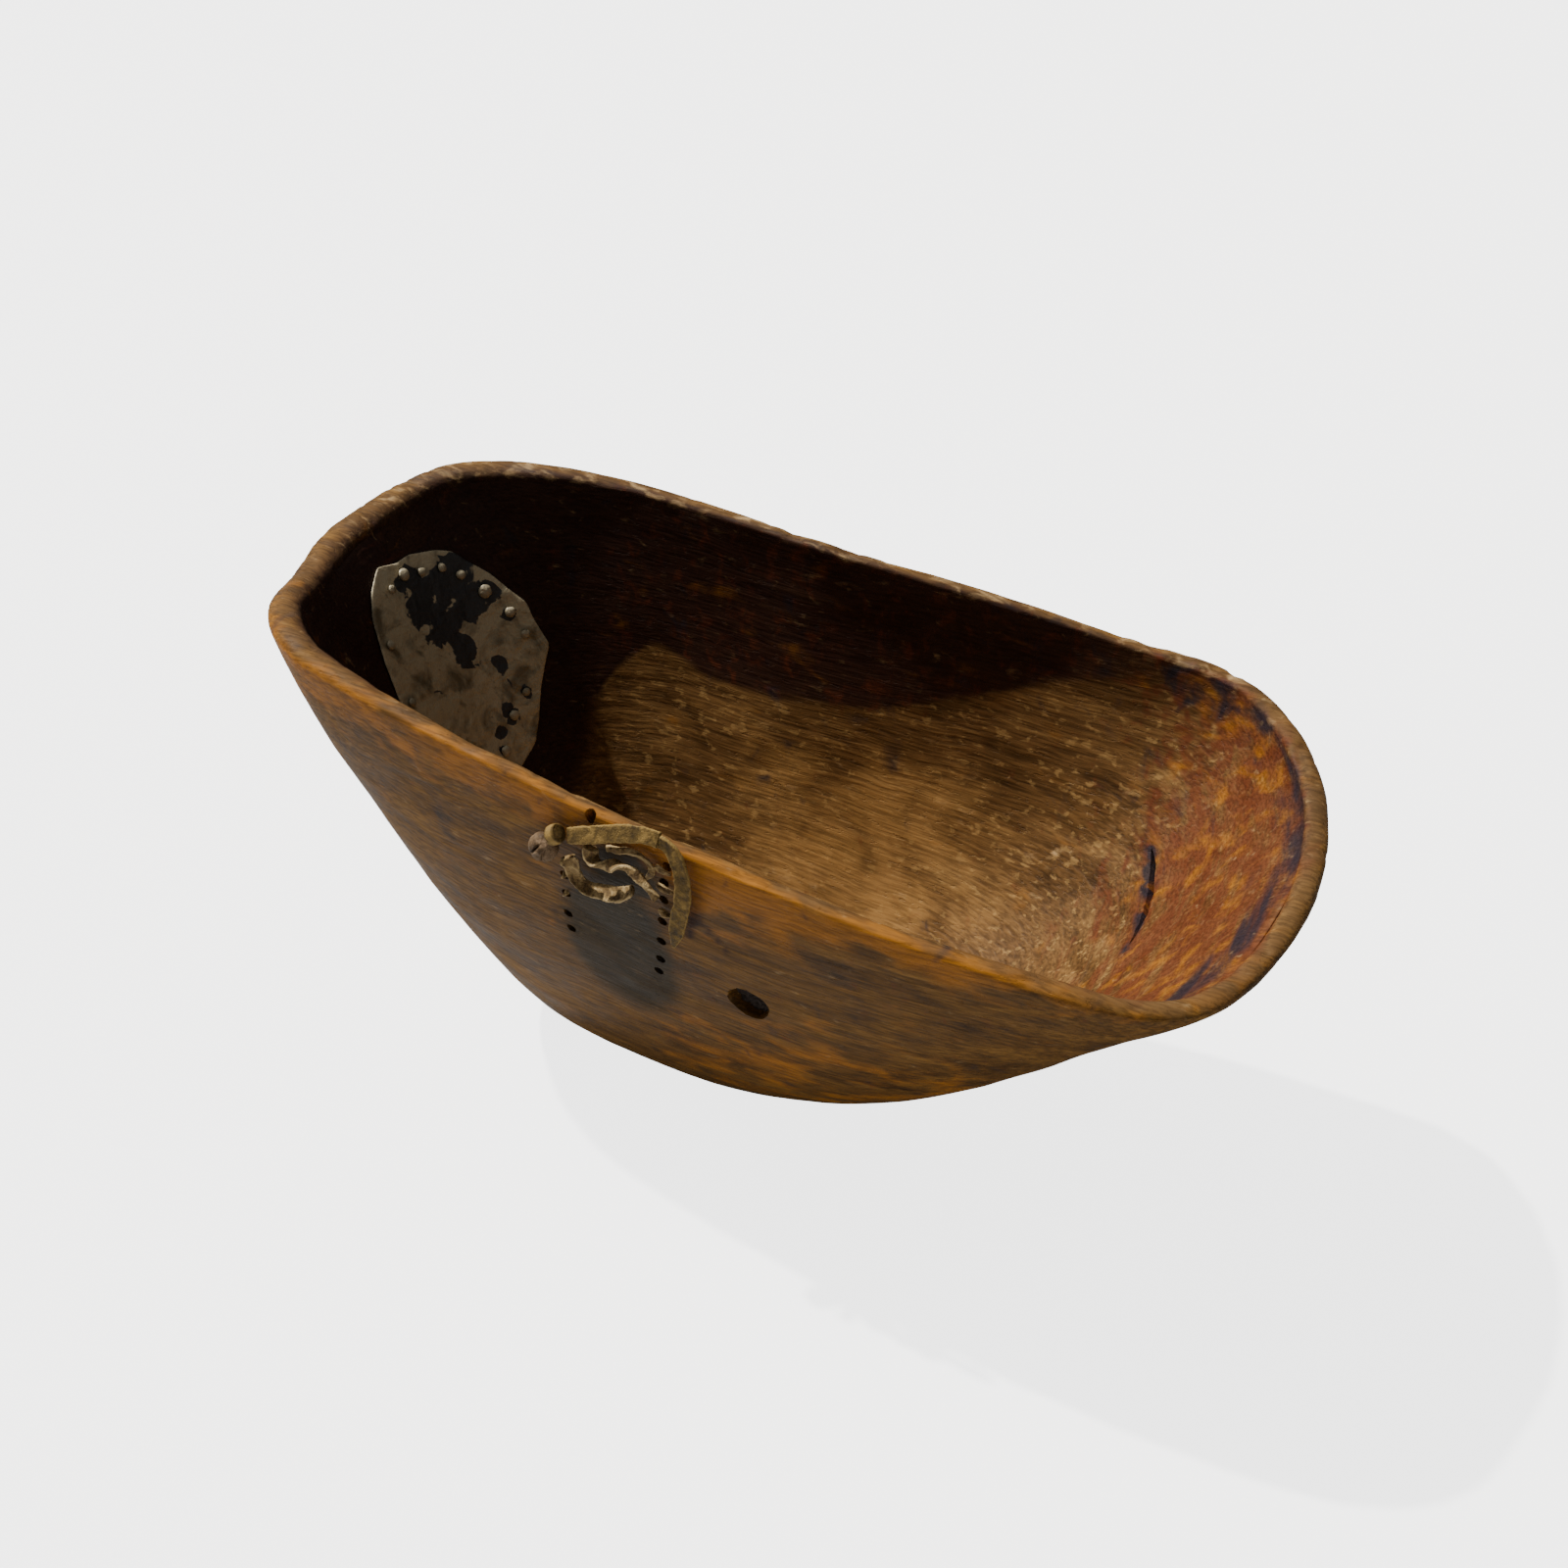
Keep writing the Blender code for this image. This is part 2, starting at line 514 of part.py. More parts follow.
def main():
    clear_scene()
    parts = new_collection("scoop_bowl")
    cutters = new_collection("bowl_cutters")
    bores = new_collection("tack_bores")
    cutters.children.link(bores)
    whole = make_bowl(parts, cutters)
    make_wall_cutters(whole, cutters)
    make_plate(parts, whole, bores)
    make_tacks(parts, whole, bores)
    make_leather(parts, whole)
    make_peg(parts, whole)


main()
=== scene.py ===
"""A carved wooden feed scoop with a nailed mending plate and a leather thong.

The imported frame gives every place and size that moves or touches.  This script
dresses it: it carves the bowl finely, hammers the plate, forms the leather and
rawhide, and gives each piece a procedural finish.
"""
import logging
import math
from dataclasses import dataclass, field
from enum import Enum

import bmesh
import bpy
import numpy as np
from mathutils import Matrix, Vector, kdtree, noise


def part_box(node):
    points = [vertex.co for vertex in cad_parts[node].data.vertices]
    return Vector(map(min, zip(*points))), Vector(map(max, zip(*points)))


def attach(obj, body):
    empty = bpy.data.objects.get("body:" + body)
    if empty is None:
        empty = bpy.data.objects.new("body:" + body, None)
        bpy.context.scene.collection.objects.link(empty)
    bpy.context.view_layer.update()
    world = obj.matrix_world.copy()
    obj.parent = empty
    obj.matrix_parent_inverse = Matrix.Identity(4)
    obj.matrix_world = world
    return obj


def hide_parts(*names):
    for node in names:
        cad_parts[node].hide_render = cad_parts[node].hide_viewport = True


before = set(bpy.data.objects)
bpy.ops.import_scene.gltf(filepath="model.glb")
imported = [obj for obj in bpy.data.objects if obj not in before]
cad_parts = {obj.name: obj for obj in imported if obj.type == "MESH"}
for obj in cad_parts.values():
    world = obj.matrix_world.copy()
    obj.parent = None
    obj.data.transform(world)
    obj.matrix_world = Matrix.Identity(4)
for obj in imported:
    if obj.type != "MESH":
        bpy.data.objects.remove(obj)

MM = 0.001
CURVE_STEPS = 12
FEWEST_SAMPLES = 4
WELD = 1e-5
LOG = logging.getLogger("feed_scoop")
Tone = tuple[float, float, float]
Point = tuple[float, float, float]


class Body(Enum):
    """The rigid bodies of the frame."""

    SCOOP = "scoop"
    TAIL = "tail"


class Slot(Enum):
    """The record's material slots."""

    BOWL = "bowl_wood"
    PEG = "peg_wood"
    PLATE = "plate_pewter"
    TACK = "tack_pewter"
    LEATHER = "leather"
    RAWHIDE = "rawhide"


class Blend(Enum):
    """Ways to lay one colour over another."""

    MIX = "MIX"
    MULTIPLY = "MULTIPLY"


# ---------------------------------------------------------------------------
# Numbers and curves
# ---------------------------------------------------------------------------
def metres(points: list[Point] | tuple[Point, ...]) -> np.ndarray:
    """Turns points given in millimetres into an array in metres."""
    return np.array(points, float) * MM


def closed_curve(points: np.ndarray, steps: int) -> np.ndarray:
    """Samples a smooth closed curve.

    Args:
        points: The points that the curve passes through, in order.
        steps: The samples taken between each point and the next.

    Returns:
        The sampled points.
    """
    after, before = np.roll(points, -1, axis=0), np.roll(points, 1, axis=0)
    span = np.linalg.norm((after - points)[:, :2], axis=1)
    slope = (after - before) / (span + np.roll(span, 1))[:, None]
    t = (np.arange(steps) / steps)[None, :, None]
    start = (slope * span[:, None])[:, None]
    end = (np.roll(slope, -1, axis=0) * span[:, None])[:, None]
    curve = ((2 * t**3 - 3 * t**2 + 1) * points[:, None] + (t**3 - 2 * t**2 + t) * start
             + (3 * t**2 - 2 * t**3) * after[:, None] + (t**3 - t**2) * end)
    return curve.reshape(-1, points.shape[1])


def open_curve(points: np.ndarray, spacing: float) -> np.ndarray:
    """Samples a smooth open curve at even distances.

    Args:
        points: The points that the curve passes through, in order.
        spacing: The distance between samples, in metres.

    Returns:
        The sampled points.
    """
    ends = np.vstack([2 * points[0] - points[1], points, 2 * points[-1] - points[-2]])
    t = np.linspace(0, 1, CURVE_STEPS, endpoint=False)[:, None]
    dense = []
    for before, start, end, after in zip(ends, ends[1:], ends[2:], ends[3:]):
        square = 2 * before - 5 * start + 4 * end - after
        cube = 3 * start - before - 3 * end + after
        dense.append(0.5 * (2 * start + (end - before) * t + square * t**2 + cube * t**3))
    dense = np.vstack(dense + [points[-1:]])
    run = np.concatenate([[0], np.cumsum(np.linalg.norm(np.diff(dense, axis=0), axis=1))])
    at = np.linspace(0, run[-1], max(FEWEST_SAMPLES, round(run[-1] / spacing)))
    return np.column_stack([np.interp(at, run, dense[:, i]) for i in range(3)])


def smooth_step(low: float, high: float, value: np.ndarray) -> np.ndarray:
    """Returns 0 at low, 1 at high, and a smooth change between and no further."""
    t = np.clip((value - low) / (high - low), 0, 1)
    return t * t * (3 - 2 * t)


def rough_field(points: np.ndarray, wavelength: float, seed: float, octaves: int = 3) -> np.ndarray:
    """Returns seeded fractal noise, about -1 to 1, at each point.

    Args:
        points: The places, in metres.
        wavelength: The size of the largest bumps, in metres.
        seed: Moves the noise to another part of its field.
        octaves: The number of finer layers.
    """
    shift = Vector((seed * 7.3, seed * 3.1, seed * 5.7))
    return np.array([noise.fractal(Vector(p) / wavelength + shift, 0.6, 2.0, octaves) for p in points])


def patch(points: np.ndarray, centre: Point, radii: Point) -> np.ndarray:
    """Returns a soft mask, 1 at a centre and 0 beyond its radii.

    Args:
        points: The places, in metres.
        centre: The middle of the patch, in millimetres.
        radii: Its half sizes, in millimetres.
    """
    apart = (points / MM - np.array(centre)) / np.array(radii)
    return 1 - smooth_step(0.35, 1.0, np.linalg.norm(apart, axis=1))


def streak(points: np.ndarray, route: tuple[Point, ...], width: float) -> np.ndarray:
    """Returns a soft mask that follows a route of points.

    Args:
        points: The places, in metres.
        route: The route's points, in millimetres.
        width: The half width of the streak, in millimetres.
    """
    line = metres(route)
    nearest = np.full(len(points), 1e9)
    for start, end in zip(line, line[1:]):
        run = end - start
        share = np.clip(((points - start) @ run) / (run @ run), 0, 1)
        nearest = np.minimum(nearest, np.linalg.norm(points - start - share[:, None] * run, axis=1))
    return 1 - smooth_step(0.2, 1.0, nearest / (width * MM))


# ---------------------------------------------------------------------------
# Meshes
# ---------------------------------------------------------------------------
def add_object(name: str, data: bpy.types.ID) -> bpy.types.Object:
    """Makes an object of some data and puts it in the scene."""
    obj = bpy.data.objects.new(name, data)
    bpy.context.scene.collection.objects.link(obj)
    return obj


def new_object(name: str, verts: np.ndarray, faces: list[tuple[int, ...]]) -> bpy.types.Object:
    """Makes a smooth-shaded object.

    Args:
        name: The object's name.
        verts: Its points, in metres.
        faces: The point numbers of each face.

    Returns:
        The new object, in the scene.
    """
    mesh = bpy.data.meshes.new(name)
    mesh.from_pydata([tuple(v) for v in verts], [], faces)
    mesh.validate()
    mesh.shade_smooth()
    return add_object(name, mesh)


def read_vectors(items: bpy.types.bpy_prop_collection, name: str) -> np.ndarray:
    """Returns one vector property of every item as an array."""
    flat = np.zeros(len(items) * 3, np.float32)
    items.foreach_get(name, flat)
    return flat.reshape(-1, 3).astype(float)


def positions(mesh: bpy.types.Mesh) -> np.ndarray:
    """Returns a mesh's points as an array."""
    return read_vectors(mesh.vertices, "co")


def normals(mesh: bpy.types.Mesh) -> np.ndarray:
    """Returns a mesh's point normals as an array."""
    return read_vectors(mesh.vertex_normals, "vector")


def main_axes(points: np.ndarray) -> tuple[np.ndarray, np.ndarray]:
    """Returns the middle of some points and their three axes, longest first."""
    middle = points.mean(axis=0)
    return middle, np.linalg.svd(points - middle, full_matrices=False)[2]


def middle_and_half(low: Vector, high: Vector) -> tuple[np.ndarray, np.ndarray]:
    """Returns the middle and the half size of a box."""
    return np.array((low + high) / 2), np.array((high - low) / 2)


def move_points(mesh: bpy.types.Mesh, points: np.ndarray) -> None:
    """Puts a mesh's points at new places."""
    mesh.vertices.foreach_set("co", points.astype(np.float32).ravel())
    mesh.update()


def store_mask(mesh: bpy.types.Mesh, name: str, values: np.ndarray) -> None:
    """Stores one number per point under a name that materials read."""
    layer = mesh.attributes.new(name, "FLOAT", "POINT")
    layer.data.foreach_set("value", values.astype(np.float32))


def settle(obj: bpy.types.Object) -> bpy.types.Object:
    """Applies an object's modifiers to its mesh."""
    graph = bpy.context.evaluated_depsgraph_get()
    made = bpy.data.meshes.new_from_object(obj.evaluated_get(graph))
    obj.modifiers.clear()
    old, obj.data = obj.data, made
    bpy.data.meshes.remove(old)
    return obj


def copy_node(node: str, name: str, levels: int) -> bpy.types.Object:
    """Copies a frame node and rounds it with Subdivision Surface.

    Args:
        node: The frame node.
        name: The copy's name.
        levels: The subdivision levels.

    Returns:
        The rounded copy.
    """
    bm = bmesh.new()
    bm.from_mesh(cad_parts[node].data)
    bmesh.ops.remove_doubles(bm, verts=bm.verts, dist=WELD)
    mesh = bpy.data.meshes.new(name)
    bm.to_mesh(mesh)
    bm.free()
    obj = add_object(name, mesh)
    rounding = obj.modifiers.new("rounding", "SUBSURF")
    rounding.levels = rounding.render_levels = levels
    settle(obj)
    obj.data.shade_smooth()
    return obj


def place(obj: bpy.types.Object, body: Body, slot: Slot, material: bpy.types.Material,
          *nodes: str) -> None:
    """Dresses a piece, puts it on its body and lets it stand for frame nodes.

    Args:
        obj: The piece.
        body: The body it rides on.
        slot: The record's slot of its finish; not used.
        material: Its material.
        *nodes: The frame nodes it replaces.
    """
    obj.data.materials.clear()
    obj.data.materials.append(material)
    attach(obj, body.value)
    if nodes:
        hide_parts(*nodes)
    LOG.info("%s: %d faces", obj.name, len(obj.data.polygons))


# ---------------------------------------------------------------------------
# Node trees
# ---------------------------------------------------------------------------
class Graph:
    """Short ways to add and join the nodes of one tree."""

    def __init__(self, tree: bpy.types.NodeTree) -> None:
        """Starts on a tree."""
        self.tree = tree

    def add(self, kind: str, **settings: object) -> bpy.types.Node:
        """Adds a node and sets its properties."""
        node = self.tree.nodes.new(kind)
        for name, value in settings.items():
            setattr(node, name, value)
        return node

    def put(self, socket: bpy.types.NodeSocket, value: object) -> None:
        """Joins a socket to another, or sets it to a number, vector or colour."""
        if isinstance(value, bpy.types.NodeSocket):
            self.tree.links.new(value, socket)
        elif isinstance(value, tuple) and socket.type == "RGBA":
            socket.default_value = (*value, 1.0)
        else:
            socket.default_value = value

    def math(self, operation: str, first: object, second: object = 0.0,
             clamp: bool = False) -> bpy.types.NodeSocket:
        """Returns the result of a Math node."""
        node = self.add("ShaderNodeMath", operation=operation, use_clamp=clamp)
        self.put(node.inputs[0], first)
        self.put(node.inputs[1], second)
        return node.outputs[0]

    def plus(self, first: object, second: object, clamp: bool = False) -> bpy.types.NodeSocket:
        """Returns a sum."""
        return self.math("ADD", first, second, clamp)

    def minus(self, first: object, second: object) -> bpy.types.NodeSocket:
        """Returns a difference."""
        return self.math("SUBTRACT", first, second)

    def times(self, first: object, second: object) -> bpy.types.NodeSocket:
        """Returns a product."""
        return self.math("MULTIPLY", first, second)

    def mix(self, share: object, under: object, over: object,
            blend: Blend = Blend.MIX) -> bpy.types.NodeSocket:
        """Returns one colour laid over another."""
        node = self.add("ShaderNodeMix", data_type="RGBA", blend_type=blend.value)
        self.put(node.inputs[0], share)
        self.put(node.inputs[6], under)
        self.put(node.inputs[7], over)
        return node.outputs[2]

    def ramp(self, share: object, stops: list[tuple[float, Tone]]) -> bpy.types.NodeSocket:
        """Returns a colour picked along a row of stops."""
        node = self.add("ShaderNodeValToRGB")
        self.put(node.inputs[0], share)
        row = node.color_ramp.elements
        while len(row) < len(stops):
            row.new(0.5)
        for element, (at, tone) in zip(row, stops):
            element.position = at
            element.color = (*tone, 1.0)
        return node.outputs[0]

    def between(self, value: object, low: object, high: object, start: float = 0.0,
                end: float = 1.0) -> bpy.types.NodeSocket:
        """Returns a value moved from one range to another, smoothly."""
        node = self.add("ShaderNodeMapRange", interpolation_type="SMOOTHSTEP")
        for socket, setting in zip(node.inputs, (value, low, high, start, end)):
            self.put(socket, setting)
        return node.outputs[0]

    def noise(self, vector: object, scale: object, detail: float = 4.0,
              waver: float = 0.0) -> bpy.types.NodeSocket:
        """Returns the value of a Noise Texture."""
        node = self.add("ShaderNodeTexNoise")
        self.put(node.inputs["Vector"], vector)
        self.put(node.inputs["Scale"], scale)
        self.put(node.inputs["Detail"], detail)
        self.put(node.inputs["Distortion"], waver)
        return node.outputs[0]

    def stretch(self, vector: object, scale: Point) -> bpy.types.NodeSocket:
        """Returns a vector scaled differently along each axis."""
        node = self.add("ShaderNodeMapping")
        self.put(node.inputs["Vector"], vector)
        node.inputs["Scale"].default_value = scale
        return node.outputs[0]

    def place(self) -> bpy.types.NodeSocket:
        """Returns the place on the object, in metres."""
        return self.add("ShaderNodeTexCoord").outputs["Object"]

    def mask(self, name: str) -> bpy.types.NodeSocket:
        """Returns a mask stored on the mesh."""
        return self.add("ShaderNodeAttribute", attribute_name=name).outputs["Fac"]

    def call(self, group: bpy.types.NodeTree, **inputs: object) -> bpy.types.Node:
        """Adds a group and fills its named inputs."""
        node = self.add("ShaderNodeGroup", node_tree=group)
        for name, value in inputs.items():
            self.put(node.inputs[name], value)
        return node


def new_group(name: str, inputs: dict[str, tuple[str, object]],
              outputs: list[str]) -> tuple[Graph, bpy.types.Node, bpy.types.Node]:
    """Starts a node group.

    Args:
        name: The group's name.
        inputs: The type and first value of each named input.
        outputs: The names of its outputs, which are all numbers.

    Returns:
        The graph, its input node and its output node.
    """
    tree = bpy.data.node_groups.new(name, "ShaderNodeTree")
    for label, (kind, value) in inputs.items():
        socket = tree.interface.new_socket(label, in_out="INPUT", socket_type=kind)
        if value is not None:
            socket.default_value = value
    for label in outputs:
        tree.interface.new_socket(label, in_out="OUTPUT", socket_type="NodeSocketFloat")
    graph = Graph(tree)
    return graph, graph.add("NodeGroupInput"), graph.add("NodeGroupOutput")


class Effects:
    """The shared effects, each a node group built once."""

    def __init__(self) -> None:
        """Builds every group."""
        self.grain = self.build_grain()
        self.ragged = self.build_ragged()
        self.flecks = self.build_flecks()
        self.hide = self.build_hide()

    @staticmethod
    def build_grain() -> bpy.types.NodeTree:
        """Long wood fibres that run along X in layers round a heart."""
        log_radius = 0.2
        graph, given, made = new_group(
            "wood_grain",
            {"Vector": ("NodeSocketVector", None), "Heart": ("NodeSocketFloat", 0.34),
             "Waver": ("NodeSocketFloat", 0.012), "Fineness": ("NodeSocketFloat", 1.0)},
            ["Fibre", "Layer", "Figure"])
        place, fine = given.outputs["Vector"], given.outputs["Fineness"]
        axes = graph.add("ShaderNodeSeparateXYZ")
        graph.put(axes.inputs[0], place)
        long, side, height = axes.outputs
        drift = graph.minus(graph.noise(place, scale=9.0, detail=3.0), 0.5)
        below = graph.minus(given.outputs["Heart"], height)
        radius = graph.math("SQRT", graph.plus(graph.times(below, below), graph.times(side, side)))
        radius = graph.plus(radius, graph.times(drift, given.outputs["Waver"]))
        around = graph.math("ARCTAN2", side, below)
        log = graph.add("ShaderNodeCombineXYZ")
        graph.put(log.inputs[0], long)
        graph.put(log.inputs[1], radius)
        graph.put(log.inputs[2], graph.times(around, log_radius))
        for name, stretch, detail, waver in (("Fibre", (62, 900, 620), 5.0, 0.3),
                                             ("Layer", (13, 170, 34), 4.0, 0.6),
                                             ("Figure", (19, 48, 44), 5.0, 1.2)):
            value = graph.noise(graph.stretch(log.outputs[0], stretch), fine, detail, waver)
            graph.put(made.inputs[name], value)
        return graph.tree

    @staticmethod
    def build_ragged() -> bpy.types.NodeTree:
        """Breaks the soft edge of a mask into a ragged one."""
        graph, given, made = new_group(
            "ragged_edge",
            {"Vector": ("NodeSocketVector", None), "Mask": ("NodeSocketFloat", 0.0),
             "Scale": ("NodeSocketFloat", 60.0), "Spread": ("NodeSocketFloat", 1.0),
             "Softness": ("NodeSocketFloat", 0.15)},
            ["Mask"])
        vector, scale, soft = (given.outputs[n] for n in ("Vector", "Scale", "Softness"))
        grain = graph.minus(graph.noise(vector, scale, detail=6.0, waver=0.5), 0.5)
        broken = graph.plus(given.outputs["Mask"], graph.times(grain, given.outputs["Spread"]))
        edge = graph.between(broken, graph.minus(0.5, soft), graph.plus(0.5, soft))
        graph.put(made.inputs["Mask"], edge)
        return graph.tree

    @staticmethod
    def build_flecks() -> bpy.types.NodeTree:
        """Sparse irregular flecks."""
        graph, given, made = new_group(
            "flecks",
            {"Vector": ("NodeSocketVector", None), "Scale": ("NodeSocketFloat", 200.0),
             "Least": ("NodeSocketFloat", 0.6)},
            ["Mask"])
        least, edge_width = given.outputs["Least"], 0.10
        value = graph.noise(given.outputs["Vector"], given.outputs["Scale"], detail=6.0, waver=0.4)
        graph.put(made.inputs["Mask"], graph.between(value, least, graph.plus(least, edge_width)))
        return graph.tree

    @staticmethod
    def build_hide() -> bpy.types.NodeTree:
        """Pebbled hide: a fine height and a coarser blotch."""
        graph, given, made = new_group(
            "hide_grain",
            {"Vector": ("NodeSocketVector", None), "Scale": ("NodeSocketFloat", 1400.0)},
            ["Height", "Blotch"])
        vector, scale = given.outputs["Vector"], given.outputs["Scale"]
        fibre_scale, blotch_scale, pebble_height = 0.7, 0.16, 0.4
        cells = graph.add("ShaderNodeTexVoronoi", feature="SMOOTH_F1")
        graph.put(cells.inputs["Vector"], vector)
        graph.put(cells.inputs["Scale"], scale)
        fibre = graph.noise(vector, graph.times(scale, fibre_scale), detail=5.0, waver=1.0)
        pebbles = graph.times(cells.outputs[0], pebble_height)
        graph.put(made.inputs["Height"], graph.plus(pebbles, fibre))
        blotch = graph.noise(vector, graph.times(scale, blotch_scale), detail=4.0, waver=0.8)
        graph.put(made.inputs["Blotch"], blotch)
        return graph.tree


def new_material(name: str) -> tuple[bpy.types.Material, Graph, bpy.types.Node]:
    """Starts a material and returns it with its graph and its Principled BSDF."""
    material = bpy.data.materials.new(name)
    material.use_nodes = True
    graph = Graph(material.node_tree)
    return material, graph, material.node_tree.nodes["Principled BSDF"]


def add_bump(graph: Graph, shader: bpy.types.Node, height: object, strength: float, depth: float) -> None:
    """Raises a surface's normal by a height.

    Args:
        graph: The material's graph.
        shader: Its Principled BSDF.
        height: The height, 0 to 1.
        strength: How much of it shows.
        depth: The height that 1 stands for, in metres.
    """
    bump = graph.add("ShaderNodeBump")
    bump.inputs["Strength"].default_value = strength
    bump.inputs["Distance"].default_value = depth
    graph.put(bump.inputs["Height"], height)
    graph.put(shader.inputs["Normal"], bump.outputs[0])


@dataclass(frozen=True)
class Coat:
    """A colour laid on wood where a mask says, up to a ragged edge.

    The scale and the spread are those of the edge's grain, and the last share
    is how much of the colour is laid on at most.
    """

    mask: str
    tone: Tone
    scale: float
    spread: float
    most: float
    stretch: Point = (0.45, 1.0, 1.0)


@dataclass(frozen=True)
class WoodFinish:
    """Old carved hardwood, stained by use, with painted shade and a painted pool of light."""

    name: str = "carved wood"
    outside: tuple[Tone, ...] = ((0.048, 0.021, 0.005), (0.130, 0.062, 0.013), (0.240, 0.122, 0.027))
    inside: tuple[Tone, ...] = ((0.058, 0.028, 0.009), (0.138, 0.069, 0.022), (0.260, 0.143, 0.047))
    stops: tuple[float, ...] = (0.36, 0.52, 0.70)
    fleck: Tone = (0.46, 0.28, 0.10)
    fleck_most: float = 0.40
    toward_lip: Point = (1.0, 0.22, 0.9)
    coats: tuple[Coat, ...] = (
        # The gold coat is partly the floor's golden mottled wood and partly a painted pool of light where
        # the key light falls.
        Coat("gold_and_painted_light", (0.400, 0.215, 0.068), 48.0, 1.5, 0.62, (0.8, 1.0, 1.0)),
        # The shade coat is painted shade: the key light's shadow inside the prow and on the far wall, and
        # the shade behind the thong.
        Coat("shade", (0.026, 0.009, 0.007), 22.0, 0.45, 0.92),
        Coat("warm", (0.118, 0.029, 0.011), 150.0, 2.0, 0.80, toward_lip),
        Coat("ochre", (0.33, 0.125, 0.012), 95.0, 1.9, 0.88),
        Coat("stain", (0.017, 0.014, 0.007), 60.0, 0.6, 0.85),
        # The tar coat is the lip's real tar stains and the painted shade along the crack.
        Coat("tar_and_crack_shade", (0.014, 0.015, 0.024), 85.0, 2.3, 0.88, toward_lip),
        Coat("crest", (0.112, 0.060, 0.023), 140.0, 1.3, 0.72),
        Coat("pale", (0.46, 0.30, 0.14), 260.0, 1.8, 0.80))
    coat_softness: float = 0.30
    streak_share: float = 0.75
    crest_roughness: float = 0.35
    shine: float = 0.13
    relief: tuple[float, float] = (0.55, 0.0009)

    def make(self, effects: Effects) -> bpy.types.Material:
        """Builds the material from the masks that the bowl's mesh carries.

        Args:
            effects: The shared effects.

        Returns:
            The material.
        """
        material, graph, shader = new_material(self.name)
        place = graph.place()
        grain = graph.call(effects.grain, Vector=place)
        fibre, layer, figure = (grain.outputs[n] for n in ("Fibre", "Layer", "Figure"))
        depth = graph.plus(graph.times(layer, 0.32), graph.times(figure, 0.50))
        depth = graph.plus(depth, graph.times(fibre, 0.18))
        outside = graph.ramp(depth, list(zip(self.stops, self.outside)))
        inside = graph.ramp(depth, list(zip(self.stops, self.inside)))
        colour = graph.mix(graph.mask("hollow"), outside, inside)
        colour = self.add_flecks(graph, effects, place, colour)
        for coat in self.coats:
            ragged = graph.call(effects.ragged, Vector=graph.stretch(place, coat.stretch),
                                Mask=graph.mask(coat.mask), Scale=coat.scale, Spread=coat.spread,
                                Softness=self.coat_softness)
            colour = graph.mix(graph.times(ragged.outputs[0], coat.most), colour, coat.tone)
        streaks = graph.between(fibre, low=0.34, high=0.62, start=0.62, end=1.15)
        grey = graph.add("ShaderNodeCombineColor")
        for socket in grey.inputs:
            graph.put(socket, streaks)
        colour = graph.mix(self.streak_share, colour, grey.outputs[0], Blend.MULTIPLY)
        graph.put(shader.inputs["Base Color"], colour)
        worn = graph.times(graph.mask("crest"), self.crest_roughness)
        rough = graph.between(figure, low=0.3, high=0.7, start=0.44, end=0.62)
        graph.put(shader.inputs["Roughness"], graph.plus(rough, worn, clamp=True))
        shader.inputs["Specular IOR Level"].default_value = self.shine
        height = graph.plus(graph.times(fibre, 0.5), graph.times(layer, 0.8))
        pits = graph.call(effects.flecks, Vector=graph.stretch(place, (0.35, 1, 1)), Scale=620.0,
                          Least=0.60)
        height = graph.minus(height, graph.times(pits.outputs[0], 0.35))
        add_bump(graph, shader, height, *self.relief)
        return material

    def add_flecks(self, graph: Graph, effects: Effects, place: bpy.types.NodeSocket,
                   colour: bpy.types.NodeSocket) -> bpy.types.NodeSocket:
        """Scatters pale flecks where the mask says.

        Args:
            graph: The material's graph.
            effects: The shared effects.
            place: The place on the object.
            colour: The colour under them.

        Returns:
            The colour with its flecks.
        """
        fleck = graph.call(effects.flecks, Vector=graph.stretch(place, (0.5, 1.0, 0.8)), Scale=330.0,
                           Least=0.57)
        flecks = graph.times(fleck.outputs[0], graph.mask("flecks"))
        return graph.mix(graph.times(flecks, self.fleck_most), colour, self.fleck)


@dataclass(frozen=True)
class PewterFinish:
    """Hammered grey sheet with black patches."""

    name: str
    light: Tone = (0.470, 0.395, 0.250)
    dull: Tone = (0.190, 0.155, 0.090)
    black: Tone = (0.010, 0.012, 0.017)
    bright: Tone = (0.60, 0.54, 0.38)
    metallic: float = 0.25
    relief: tuple[float, float] = (0.8, 0.0016)
    patches: bool = False

    def make(self, effects: Effects) -> bpy.types.Material:
        """Builds the material."""
        material, graph, shader = new_material(self.name)
        place = graph.place()
        cloud = graph.noise(place, scale=75.0, detail=6.0, waver=0.8)
        colour = graph.ramp(cloud, [(0.34, self.dull), (0.50, self.light), (0.72, self.light)])
        spots = graph.call(effects.flecks, Vector=place, Scale=330.0, Least=0.62)
        colour = graph.mix(graph.times(spots.outputs[0], 0.55), colour, self.dull)
        metal = self.metallic
        if self.patches:
            blot = graph.call(effects.ragged, Vector=place, Mask=graph.mask("patina"), Scale=120.0,
                              Spread=2.3, Softness=0.05)
            edge = graph.call(effects.ragged, Vector=place, Mask=graph.mask("edge"), Scale=200.0,
                              Spread=1.0, Softness=0.25)
            colour = graph.mix(graph.times(edge.outputs[0], 0.55), colour, self.bright)
            colour = graph.mix(graph.times(blot.outputs[0], 0.96), colour, self.black)
            metal = graph.between(blot.outputs[0], low=0.0, high=1.0, start=self.metallic, end=0.0)
        graph.put(shader.inputs["Base Color"], colour)
        graph.put(shader.inputs["Metallic"], metal)
        rough = graph.between(cloud, low=0.3, high=0.7, start=0.36, end=0.58)
        graph.put(shader.inputs["Roughness"], rough)
        hammer = graph.noise(place, scale=150.0, detail=4.0, waver=0.4)
        grit = graph.noise(place, scale=900.0, detail=3.0)
        add_bump(graph, shader, graph.plus(hammer, graph.times(grit, 0.15)), *self.relief)
        return material


